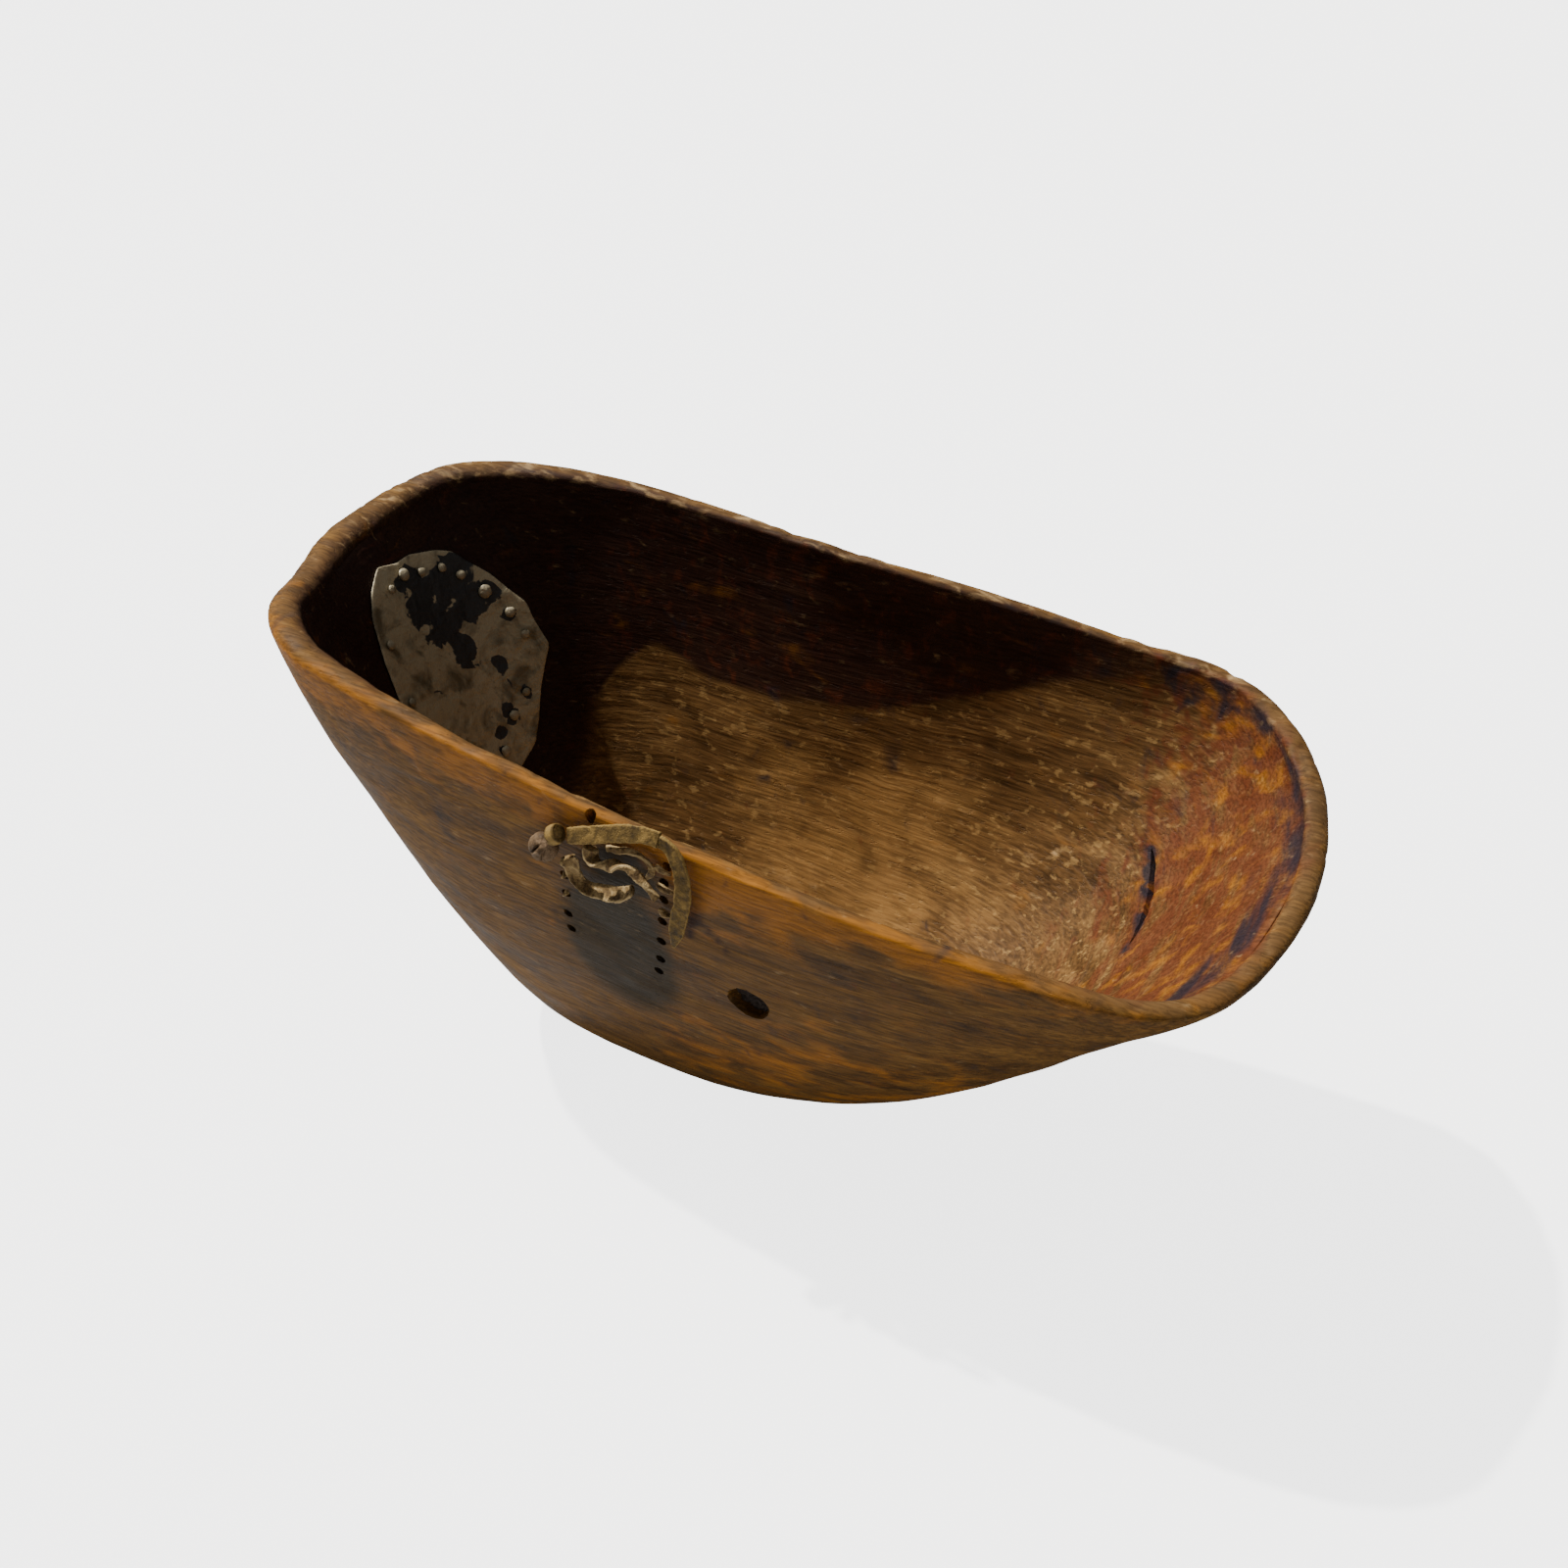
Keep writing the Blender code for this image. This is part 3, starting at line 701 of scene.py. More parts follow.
@dataclass(frozen=True)
class HideFinish:
    """Dry leather or rawhide, paler where it is worn."""

    name: str
    dark: Tone
    middle: Tone
    worn: Tone
    scale: float = 1400.0
    roughness: tuple[float, float] = (0.55, 0.8)
    shine: float = 0.14
    relief: tuple[float, float] = (0.75, 0.0007)

    def make(self, effects: Effects) -> bpy.types.Material:
        """Builds the material."""
        material, graph, shader = new_material(self.name)
        place = graph.place()
        hide = graph.call(effects.hide, Vector=place, Scale=self.scale)
        blotch = hide.outputs["Blotch"]
        colour = graph.ramp(blotch, [(0.32, self.dark), (0.52, self.middle), (0.74, self.worn)])
        wear = graph.call(effects.ragged, Vector=place, Mask=graph.mask("edge"), Scale=420.0, Spread=1.4,
                          Softness=0.3)
        colour = graph.mix(graph.times(wear.outputs[0], 0.85), colour, self.worn)
        graph.put(shader.inputs["Base Color"], colour)
        graph.put(shader.inputs["Roughness"], graph.between(blotch, 0.3, 0.7, *self.roughness))
        shader.inputs["Specular IOR Level"].default_value = self.shine
        add_bump(graph, shader, hide.outputs["Height"], *self.relief)
        return material


@dataclass(frozen=True)
class SplinterFinish:
    """Broken end grain of a peg, nearly black with pale torn fibres."""

    name: str = "broken peg"
    dark: Tone = (0.018, 0.009, 0.005)
    torn: Tone = (0.30, 0.19, 0.09)
    fineness: float = 2.0
    roughness: float = 0.85
    relief: tuple[float, float] = (0.8, 0.0012)

    def make(self, effects: Effects) -> bpy.types.Material:
        """Builds the material."""
        material, graph, shader = new_material(self.name)
        place = graph.place()
        grain = graph.call(effects.grain, Vector=place, Fineness=self.fineness)
        torn = graph.call(effects.ragged, Vector=place, Mask=graph.mask("torn"), Scale=500.0, Spread=1.2,
                          Softness=0.2)
        graph.put(shader.inputs["Base Color"], graph.mix(torn.outputs[0], self.dark, self.torn))
        shader.inputs["Roughness"].default_value = self.roughness
        add_bump(graph, shader, grain.outputs["Fibre"], *self.relief)
        return material


# ---------------------------------------------------------------------------
# The bowl
# ---------------------------------------------------------------------------
@dataclass
class Bowl:
    """The carved bowl, with its worn rim, chips, holes, crack, stains and painted shade.

    Its rim, keel and sections are the frame's own, sampled finely.  Places,
    routes and chips are in millimetres, and every other length is in metres.
    A chip is its centre, its radius and its depth.  The dark edge gives the
    height on the far wall, at places along the bowl, above which the wood is
    dark.  It repeats the edge of the key light's shade, so it stays there
    whatever the light.
    """

    rim: tuple[Point, ...] = (
        (277, -25, 179), (267, 44, 187), (226, 95, 192), (166, 102, 195), (41, 93, 206), (-87, 95, 209),
        (-154, 76, 202), (-174, 18, 195), (-165, -23, 194), (-147, -62, 201), (-110, -86, 202),
        (38, -107, 195), (182, -109, 186), (254, -87, 176))
    steps: int = 36
    outer_rings: int = 78
    crest_rings: int = 11
    inner_rings: int = 70
    keel: tuple[float, float] = (-0.014, -0.0055)
    floor: float = 0.014
    wall: tuple[float, float, float] = (0.0065, 0.0170, 0.0095)
    thicken: float = 2.2
    crest_rise: float = 0.35
    keel_prow: tuple[float, float] = (1.96, 0.75)
    keel_lip: tuple[float, float] = (2.78, 0.80)
    section: float = 2.4
    section_ends: tuple[float, float] = (1.26, 1.53)
    hole_out: Vector = field(default_factory=lambda: Vector((-0.07, -0.98, -0.18)).normalized())
    awl_radius: float = 0.0021
    awl_holes: tuple[tuple[float, float], ...] = (
        (17, 156.5), (16, 145.5), (14.5, 132.5), (14.5, 123.5), (66.5, 185.5), (64.5, 176.5), (63.5, 167),
        (61.5, 154), (59.5, 141.5), (57.5, 129.5), (55.5, 121))
    rim_hole: Point = (33.6, -106.1, 195)
    rim_hole_out: Vector = field(default_factory=lambda: Vector((0, -0.55, 0.83)).normalized())
    rim_hole_radius: float = 0.0023
    peg_hole: tuple[float, float] = (95.5, 123)
    peg_radius: float = 0.0087
    peg_seed: int = 22
    rim_hole_seed: int = 21
    drill_length: float = 0.026
    rim_drill_length: float = 0.024
    drill_sides: int = 28
    dark_edge: tuple[tuple[float, float], ...] = (
        (-75, 104), (-62, 124), (-50, 137), (-43, 140), (-18, 131), (23, 132), (69, 139), (111, 157),
        (143, 168), (170, 172), (200, 176), (225, 182), (245, 190))
    crack: tuple[Point, Point] = ((201, 59, 127), (208, 13, 114))
    crack_pieces: int = 24
    crack_width: float = 0.0021
    crack_profile: tuple[tuple[float, float], ...] = (
        (-1, 0.002), (1, 0.002), (0.5, -0.0042), (-0.5, -0.0042))
    # Painted shade along the crack, laid by the tar coat.
    crack_shade: tuple[Point, ...] = ((201, 59, 127), (204, 46, 119), (207, 28, 115), (210, 10, 113))
    lip_tar: tuple[Point, ...] = (
        (200, 90, 192), (232, 80, 191), (246, 60, 186), (262, 21, 184), (264, -20, 178), (256, -40, 171),
        (236, -72, 170))
    scratch: tuple[Point, ...] = ((159, 64, 104), (156, 52, 87), (160, 31, 72))
    far_crest: tuple[Point, ...] = ((-150, 84, 205), (-87, 95, 209), (41, 93, 206), (166, 102, 195))
    # Painted shadow of the strap end on the wall, behind it and in an arc beside it.
    strap_end_shadow: tuple[Point, ...] = ((79, -108, 188), (79, -107, 177), (77, -106, 166), (73, -105, 152))
    strap_arc_shadow: tuple[Point, ...] = ((73, -107, 168), (83, -106, 159), (90, -105, 150))
    rim_bruise: tuple[Point, ...] = ((9, -104, 194), (11, -105, 184))
    chips: tuple[tuple[Point, float, float], ...] = (
        ((178, 97, 198), 9, 1.6), ((193, 96, 197), 7, 1.3), ((208, 93, 196), 8, 1.4),
        ((214, 97, 192), 5, 1.5), ((6, -100.5, 198), 3.5, 1.6), ((-168, 10, 200), 8, 1.1),
        ((262, -60, 181), 7, 1.0))
    waves: float = 0.00045
    tool_marks: float = 0.00016
    dent_depth: float = 0.0016
    wear_depth: float = 0.0007
    plate_margin: float = 0.006
    rest_share: float = 0.25
    sharp_angle: float = 48.0

    def rim_thickness(self, x: np.ndarray) -> np.ndarray:
        """Returns the thickness of the rim at places along the bowl."""
        prow, lip = min(p[0] for p in self.rim) * MM, max(p[0] for p in self.rim) * MM
        along = 2 * (x - prow) / (lip - prow) - 1
        side, deep, pour = self.wall
        to_prow, to_lip = np.clip(-along, 0, 1)**self.thicken, np.clip(along, 0, 1)**self.thicken
        return side + (deep - side) * to_prow + (pour - side) * to_lip

    @staticmethod
    def split_sides(rim: np.ndarray) -> list[np.ndarray]:
        """Returns the near and the far side of a closed rim, from prow to lip."""
        turned = np.roll(rim, -int(rim[:, 0].argmax()), axis=0)
        prow = int(turned[:, 0].argmin())
        sides = (np.vstack([turned[prow:], turned[:1]]), turned[:prow + 1][::-1])
        return [np.column_stack([np.maximum.accumulate(s[:, 0]), s[:, 1:]]) for s in sides]

    def hull_height(self, rim: np.ndarray, low: float, x: np.ndarray, y: np.ndarray) -> np.ndarray:
        """Returns the height of a hull that hangs from a rim.

        Args:
            rim: The rim, finely sampled.
            low: The height of the keel's lowest point.
            x: Places along the bowl.
            y: Places across it.
        """
        near, far = self.split_sides(rim)
        prow, lip = near[0], near[-1]
        to_prow = x < self.keel[0]
        run = np.where(to_prow, (self.keel[0] - x) / (self.keel[0] - prow[0]),
                       (x - self.keel[0]) / (lip[0] - self.keel[0]))
        first = np.where(to_prow, self.keel_prow[0], self.keel_lip[0])
        second = np.where(to_prow, self.keel_prow[1], self.keel_lip[1])
        end = np.where(to_prow, prow[2], lip[2])
        keel = low + (end - low) * (1 - np.clip(1 - np.clip(run, 0, 1)**first, 0, 1)**(1 / second))
        y_near, z_near = (np.interp(x, near[:, 0], near[:, i]) for i in (1, 2))
        y_far, z_far = (np.interp(x, far[:, 0], far[:, i]) for i in (1, 2))
        middle, half = (y_near + y_far) / 2, np.maximum((y_far - y_near) / 2, 1e-6)
        top = np.where(y > middle, z_far, z_near)
        across = np.clip(np.abs(y - middle) / half, 0, 1)
        share = np.clip((x - prow[0]) / (lip[0] - prow[0]), 0, 1)
        bend = self.section_ends[0] + (self.section_ends[1] - self.section_ends[0]) * share
        return keel + (top - keel) * (1 - np.clip(1 - across**self.section, 0, 1)**(1 / bend))

    def hull_rings(self, rim: np.ndarray, fine: np.ndarray, low: float,
                   count: int) -> tuple[np.ndarray, list[np.ndarray]]:
        """Returns the lowest point of a hull and its rings up to the rim.

        Args:
            rim: The rim, one sample for each point of a ring.
            fine: The rim, sampled more finely.
            low: The height of the lowest point.
            count: The number of rings.
        """
        near, far = self.split_sides(fine)
        middle = (np.interp(self.keel[0], *near[:, :2].T) + np.interp(self.keel[0], *far[:, :2].T)) / 2
        centre = np.array([self.keel[0], middle])
        rings = []
        for i in range(1, count + 1):
            flat = centre + (rim[:, :2] - centre) * math.sin(math.pi / 2 * i / count)
            height = rim[:, 2] if i == count else self.hull_height(fine, low, flat[:, 0], flat[:, 1])
            rings.append(np.column_stack([flat, height]))
        return np.array([*centre, low]), rings

    def rings(self) -> tuple[np.ndarray, list[np.ndarray], np.ndarray]:
        """Returns the outer pole, every ring over the crest, and the inner pole."""
        outer, outer_fine = (closed_curve(metres(self.rim), self.steps * k) for k in (1, 3))
        inner, inner_fine = (self.inset(r) for r in (outer, outer_fine))
        foot, below = self.hull_rings(outer, outer_fine, self.keel[1], self.outer_rings)
        floor, above = self.hull_rings(inner, inner_fine, self.keel[1] + self.floor, self.inner_rings)
        crest = []
        for i in range(1, self.crest_rings + 1):
            angle = math.pi * i / (self.crest_rings + 1)
            ring = outer + (inner - outer) * (1 - math.cos(angle)) / 2
            ring[:, 2] += self.crest_rise * self.rim_thickness(outer[:, 0]) * math.sin(angle)
            crest.append(ring)
        return foot, below + crest + above[::-1], floor

    def inset(self, rim: np.ndarray) -> np.ndarray:
        """Returns a rim moved inward by its own thickness."""
        along = np.roll(rim, -1, axis=0) - np.roll(rim, 1, axis=0)
        side = np.column_stack([-along[:, 1], along[:, 0], 0 * along[:, 0]])
        inward = side / np.linalg.norm(side, axis=1)[:, None]
        return rim + inward * self.rim_thickness(rim[:, 0])[:, None]

    def build(self) -> bpy.types.Object:
        """Builds the carved bowl with its holes and stores its masks.

        Returns:
            The bowl.
        """
        foot, rings, floor = self.rings()
        count = len(rings[0])
        verts = np.vstack([foot[None], *rings, floor[None]])
        faces: list[tuple[int, ...]] = []
        last = len(verts) - 1
        for j in range(count):
            k = (j + 1) % count
            faces.append((0, 1 + k, 1 + j))
            faces.append((last, last - count + j, last - count + k))
            for i in range(len(rings) - 1):
                a, b = 1 + i * count, 1 + (i + 1) * count
                faces.append((a + j, a + k, b + k, b + j))
        bowl = new_object("carved_bowl", verts, faces)
        level = np.concatenate([[0], np.repeat(np.arange(len(rings)), count), [len(rings) - 1]])
        self.carve(bowl.data, level)
        masks = self.masks(positions(bowl.data), level)
        lookup = kdtree.KDTree(len(verts))
        for i, point in enumerate(positions(bowl.data)):
            lookup.insert(Vector(point), i)
        lookup.balance()
        self.cut(bowl)
        nearest = [lookup.find(v.co)[1] for v in bowl.data.vertices]
        for name, values in masks.items():
            store_mask(bowl.data, name, values[nearest])
        bowl.data.shade_smooth()
        bowl.data.set_sharp_from_angle(angle=math.radians(self.sharp_angle))
        return bowl

    def rest_from_leather(self, points: np.ndarray) -> np.ndarray:
        """Returns 1 on free wood and less under the plate and the leather."""
        middle, half = middle_and_half(*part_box("mending_plate"))
        on_plate = (np.abs(points - middle) < half + self.plate_margin).all(axis=1)
        left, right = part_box("thong_knot")[0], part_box("strap_tail")[1]
        on_thong = ((points[:, 0] > left.x - 0.004) & (points[:, 0] < right.x + 0.004)
                    & (points[:, 1] < -0.08) & (points[:, 2] > 0.14))
        return np.where(on_plate | on_thong, self.rest_share, 1.0)

    def carve(self, mesh: bpy.types.Mesh, level: np.ndarray) -> None:
        """Gives the wood its waves, tool marks, chipped crest and flat foot.

        Args:
            mesh: The bowl's mesh.
            level: The ring number of each point.
        """
        points, out = positions(mesh), normals(mesh)
        free = self.rest_from_leather(points)
        crest_at = self.outer_rings + self.crest_rings / 2
        crest = np.exp(-((level - crest_at) / (self.crest_rings * 0.75))**2)
        wave = rough_field(points, wavelength=0.055, seed=1.0, octaves=2) * self.waves
        stretched = points * np.array([0.5, 1, 1])
        marks = rough_field(stretched, wavelength=0.011, seed=2.0, octaves=2) * self.tool_marks
        knocks = np.clip(rough_field(points, wavelength=0.009, seed=3.0, octaves=3) - 0.25, 0, 1)
        dents = knocks * self.dent_depth * crest
        worn = rough_field(points, wavelength=0.035, seed=4.0, octaves=2) * self.wear_depth * crest
        chips = np.zeros(len(points))
        for centre, radius, depth in self.chips:
            bite = patch(points, centre, (radius, radius, radius))
            ragged = 0.6 + 0.4 * rough_field(points, wavelength=0.006, seed=5.0, octaves=2)
            chips += bite * depth * MM * ragged
        move = (wave + marks) * free + worn - (dents + chips) * crest
        points = points + out * move[:, None]
        points[:, 2] = np.maximum(points[:, 2], np.where(level < self.outer_rings, 0.0, -1.0))
        move_points(mesh, points)

    def masks(self, points: np.ndarray, level: np.ndarray) -> dict[str, np.ndarray]:
        """Returns the masks of the finish at each point.

        Args:
            points: The places, in metres.
            level: The ring number of each point.
        """
        x, y, z = (points / MM).T
        first, last = self.outer_rings, self.outer_rings + self.crest_rings
        hollow = smooth_step(first + 1, last, level.astype(float))
        outside = 1 - hollow
        crest = np.exp(-((level - (first + last) / 2) / (self.crest_rings * 0.50))**2)
        # Painted shade: prow is the prow's inside, and deep adds the far wall above the key light's shade
        # edge.
        prow = smooth_step(-58, -78, x)
        deep = np.maximum(prow, self.far_wall_shade(x, y, z))
        under_rim = smooth_step(165, 192, z) * smooth_step(-20, -70, y)
        rim_ochre = outside * under_rim * (0.54 + 0.22 * smooth_step(40, 100, x))
        # Where the floor is lit: the gold coat lays golden wood and painted light there, outside the
        # painted shade.
        lit_floor = ((0.25 + 0.75 * smooth_step(-45, 75, x)) * (1 - smooth_step(90, 165, x))
                     * (1 - smooth_step(100, 150, z)))
        return {
            "hollow": hollow,
            # Fewer flecks where the shade is painted.
            "flecks": hollow * smooth_step(-110, -40, x) * (1 - 0.4 * deep) + 0.12 * outside,
            # The shade mask is painted shade inside the prow and on the far wall, and behind the thong.
            "shade": np.maximum(hollow * deep * 0.80, outside * self.shade_behind_leather(points)),
            # The warm coat is the lip end's red-brown wood, and also tints the painted shade on the far
            # wall.
            "warm": hollow * np.clip(smooth_step(150, 232, x) * 0.74 + 0.20 * deep * (1 - prow), 0, 1),
            "ochre": 0.26 * hollow * smooth_step(165, 225, x) + rim_ochre
            + 0.7 * streak(points, self.rim_bruise, 6)
            + 0.35 * outside * patch(points, (96, -104, 170), (38, 60, 30))
            + 0.42 * outside * patch(points, (130, -75, 70), (140, 70, 75)),
            "stain": outside * np.maximum(patch(points, (38, -98, 126), (40, 60, 62)),
                                          patch(points, (46, -106, 173), (27, 20, 17))),
            "gold_and_painted_light": hollow * lit_floor * (1 - deep) * 0.62,
            # Tar stains by the lip, and painted shade along the crack.
            "tar_and_crack_shade": hollow * np.maximum(streak(points, self.lip_tar, 21) * 0.62 * (1 - crest * 0.4),
                                       streak(points, self.crack_shade, 4.0) * 0.9),
            "crest": crest * (0.50 + 0.25 * smooth_step(150, 250, x)),
            "pale": 0.55 * hollow * streak(points, self.scratch, 3.0)
            + 0.60 * outside * patch(points, (113, -106, 153), (5, 20, 3))
            + 0.30 * streak(points, self.far_crest, 120) * crest,
        }

    def far_wall_shade(self, x: np.ndarray, y: np.ndarray, z: np.ndarray) -> np.ndarray:
        """Returns the mask of the painted shade on the far wall, above its edge and softer toward the lip.
        """
        edge_at = np.interp(x, *np.array(self.dark_edge).T)
        far = smooth_step(20, 70, y)
        blur = 4 + 0.2 * np.clip(x - 120, 0, 90)
        return far * smooth_step(-3, blur, z - edge_at) * (1 - 0.55 * smooth_step(140, 225, x))

    def shade_behind_leather(self, points: np.ndarray) -> np.ndarray:
        """Returns the mask of the painted shade on the wall behind the thong, with the strap end's painted
        shadow.
        """
        return np.maximum.reduce([
            patch(points, (40, -107, 172), (19, 14, 10)) * 0.95,
            patch(points, (53, -108, 184), (10, 12, 7)) * 0.8,
            0.8 * streak(points, self.strap_end_shadow, 5.0),
            0.7 * streak(points, self.strap_arc_shadow, 4.5)])

    def wall_point(self, bowl: bpy.types.Object, x: float, z: float) -> Vector:
        """Returns the point of the near wall at a place and a height, in millimetres."""
        hit, place, _, _ = bowl.ray_cast(Vector((x * MM, -1, z * MM)), Vector((0, 1, 0)))
        return place if hit else Vector((x * MM, -0.1, z * MM))

    def cut(self, bowl: bpy.types.Object) -> None:
        """Cuts the awl holes, the rim hole, the peg hole and the crack."""
        bpy.context.view_layer.update()
        bm = bmesh.new()
        for i, place_xz in enumerate(self.awl_holes):
            self.add_drill(bm, self.wall_point(bowl, *place_xz), self.hole_out, self.awl_radius,
                           self.drill_length, uneven=0.10, seed=i)
        self.add_drill(bm, Vector(self.rim_hole) * MM, self.rim_hole_out, self.rim_hole_radius,
                       self.rim_drill_length, uneven=0.12, seed=self.rim_hole_seed)
        self.add_drill(bm, self.wall_point(bowl, *self.peg_hole), self.hole_out, self.peg_radius,
                       self.drill_length, uneven=0.10, seed=self.peg_seed)
        self.add_crack(bm, bowl)
        bmesh.ops.recalc_face_normals(bm, faces=bm.faces)
        mesh = bpy.data.meshes.new("bowl_cuts")
        bm.to_mesh(mesh)
        bm.free()
        cutter = add_object("bowl_cuts", mesh)
        modifier = bowl.modifiers.new("cuts", "BOOLEAN")
        modifier.solver = "EXACT"
        modifier.object = cutter
        settle(bowl)
        bpy.data.objects.remove(cutter, do_unlink=True)

    def add_drill(self, bm: bmesh.types.BMesh, centre: Vector, out: Vector, radius: float, length: float,
                  uneven: float, seed: int) -> None:
        """Adds an uneven round drill to the cutting mesh.

        Args:
            bm: The cutting mesh.
            centre: The middle of the hole's mouth.
            out: The direction the hole faces.
            radius: Its radius.
            length: The drill's length.
            uneven: How far the radius strays, as a share of it.
            seed: Picks the hole's own unevenness.
        """
        sides = self.drill_sides
        turn = out.to_track_quat("Z", "Y").to_matrix()
        rows = []
        for end, flare in ((-0.5, 0.92), (-0.1, 0.95), (0.04, 1.02), (0.5, 1.10)):
            row = []
            for i in range(sides):
                angle = 2 * math.pi * i / sides
                spot = Vector((math.cos(angle) * 1.4, math.sin(angle) * 1.4, seed * 3.7 + end))
                r = radius * flare * (1 + uneven * noise.fractal(spot, 0.7, 2.0, 3))
                corner = Vector((r * math.cos(angle), r * math.sin(angle), end * length))
                row.append(bm.verts.new(centre + turn @ corner))
            rows.append(row)
        for low, high in zip(rows, rows[1:]):
            for i in range(sides):
                j = (i + 1) % sides
                bm.faces.new((low[i], low[j], high[j], high[i]))
        bm.faces.new(rows[0])
        bm.faces.new(rows[-1])

    def add_crack(self, bm: bmesh.types.BMesh, bowl: bpy.types.Object) -> None:
        """Adds the blade that opens the long crack near the lip."""
        start, end = (Vector(p) * MM for p in self.crack)
        rows = []
        for i in range(self.crack_pieces + 1):
            share = i / self.crack_pieces
            _, place, out, _ = bowl.closest_point_on_mesh(start.lerp(end, share))
            along = (end - start).normalized()
            across = out.cross(along).normalized()
            sway = 0.0011 * noise.noise(Vector((share * 5, 3.1, 0))) + 0.0016 * math.sin(share * 3.1)
            bulge = math.sin(math.pi * share)**0.45 + 0.04
            stray = 1 + 0.5 * noise.noise(Vector((share * 14, 0, 7)))
            width = self.crack_width * bulge * stray
            middle = place + across * sway
            rows.append([bm.verts.new(middle + across * width * side + out * rise)
                         for side, rise in self.crack_profile])
        corners = len(self.crack_profile)
        for row, following in zip(rows, rows[1:]):
            for i in range(corners):
                j = (i + 1) % corners
                bm.faces.new((row[i], row[j], following[j], following[i]))
        bm.faces.new(rows[0])
        bm.faces.new(rows[-1])

    def dress(self, effects: Effects) -> None:
        """Builds the bowl and gives it its wood."""
        place(self.build(), Body.SCOOP, Slot.BOWL, WoodFinish().make(effects), "bowl")


# ---------------------------------------------------------------------------
# The mending plate, its tacks and the broken peg
# ---------------------------------------------------------------------------
@dataclass
class Mend:
    """The hammered sheet nailed inside the prow, with its tacks.

    A blot is its place across and up the sheet from the middle, then its half
    width and half height, in millimetres.
    """

    tacks: int = 15
    hammer: float = 0.00022
    middle: Point = (-122, 37, 153)
    out: Vector = field(default_factory=lambda: Vector((0.832, -0.23, 0.505)).normalized())
    blots: tuple[tuple[float, float, float, float], ...] = (
        (-17.2, 14.2, 13, 15), (0.4, 17.6, 17, 15), (7, 5.1, 14, 12), (-7.8, 1, 15, 12), (-5, -13, 9, 15),
        (-18.4, 26.8, 11, 8), (9, 24, 9, 8), (16.7, 6.6, 7, 8), (9.9, -26.8, 4.5, 6), (5.5, -50, 5.5, 8),
        (16, -43.5, 3.6, 4.5), (-5, -64.5, 3.5, 3.5), (-3, -56, 5, 4), (22, -7, 4, 4))
    head_height: float = 0.0026
    head_uneven: float = 0.16
    head_flatten: float = 0.4

    def build_plate(self) -> bpy.types.Object:
        """Builds the sheet from the frame's and hammers its upper face."""
        plate = copy_node("mending_plate", "hammered_plate", 2)
        points, out = positions(plate.data), normals(plate.data)
        middle, _ = middle_and_half(*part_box("mending_plate"))
        facing = self.facing()
        upper = smooth_step(0.2, 0.8, out @ facing)
        dimples = rough_field(points, wavelength=0.010, seed=8.0, octaves=2) * self.hammer
        points = points + np.outer(upper * dimples, facing)
        move_points(plate.data, points)
        reach = points - middle
        side = np.linalg.norm(reach - np.outer(reach @ facing, facing), axis=1)
        up = Vector((0, 0, 1)) - self.out * self.out.z
        up.normalize()
        right = up.cross(self.out)
        flat = (points / MM - np.array(self.middle)) @ np.array([right, up]).T
        patina = np.zeros(len(points))
        for across, height, wide, tall in self.blots:
            apart = np.linalg.norm((flat - (across, height)) / (wide, tall), axis=1)
            patina = np.maximum(patina, 1 - smooth_step(0.3, 1.1, apart))
        store_mask(plate.data, "patina", patina)
        store_mask(plate.data, "edge", np.maximum(1 - upper, 0) + 0.3 * smooth_step(0.035, 0.05, side))
        return plate

    @staticmethod
    def facing() -> np.ndarray:
        """Returns the direction that the sheet faces, into the hollow."""
        _, axes = main_axes(positions(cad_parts["mending_plate"].data))
        return axes[2] * np.sign(axes[2][0])

    def build_tack(self, number: int, facing: np.ndarray) -> bpy.types.Object:
        """Builds one hand-made tack, with an uneven head.

        Args:
            number: The tack's number.
            facing: The direction that the sheet faces.

        Returns:
            The tack.
        """
        tack = copy_node(f"tack_{number:02d}", f"made_tack_{number:02d}", 2)
        points = positions(tack.data)
        high = (points - points.mean(axis=0)) @ facing
        head = smooth_step(0.0, 0.001, high - (high.max() - self.head_height))
        middle = points[head > 0.5].mean(axis=0)
        lumps = rough_field(points, wavelength=0.0035, seed=10.0 + number, octaves=2)
        lumps *= self.head_uneven
        spread = (points - middle) * (head * lumps)[:, None]
        flat = np.outer(spread @ facing, facing)
        move_points(tack.data, points + spread - self.head_flatten * flat)
        return tack

    def dress(self, effects: Effects) -> None:
        """Builds the sheet and its tacks and gives them their metal."""
        metal = PewterFinish("plate pewter", patches=True).make(effects)
        place(self.build_plate(), Body.SCOOP, Slot.PLATE, metal, "mending_plate")
        heads = PewterFinish("tack pewter", light=(0.42, 0.36, 0.24), dull=(0.25, 0.21, 0.13)).make(effects)
        facing = self.facing()
        for number in range(1, self.tacks + 1):
            tack = self.build_tack(number, facing)
            place(tack, Body.SCOOP, Slot.TACK, heads, f"tack_{number:02d}")


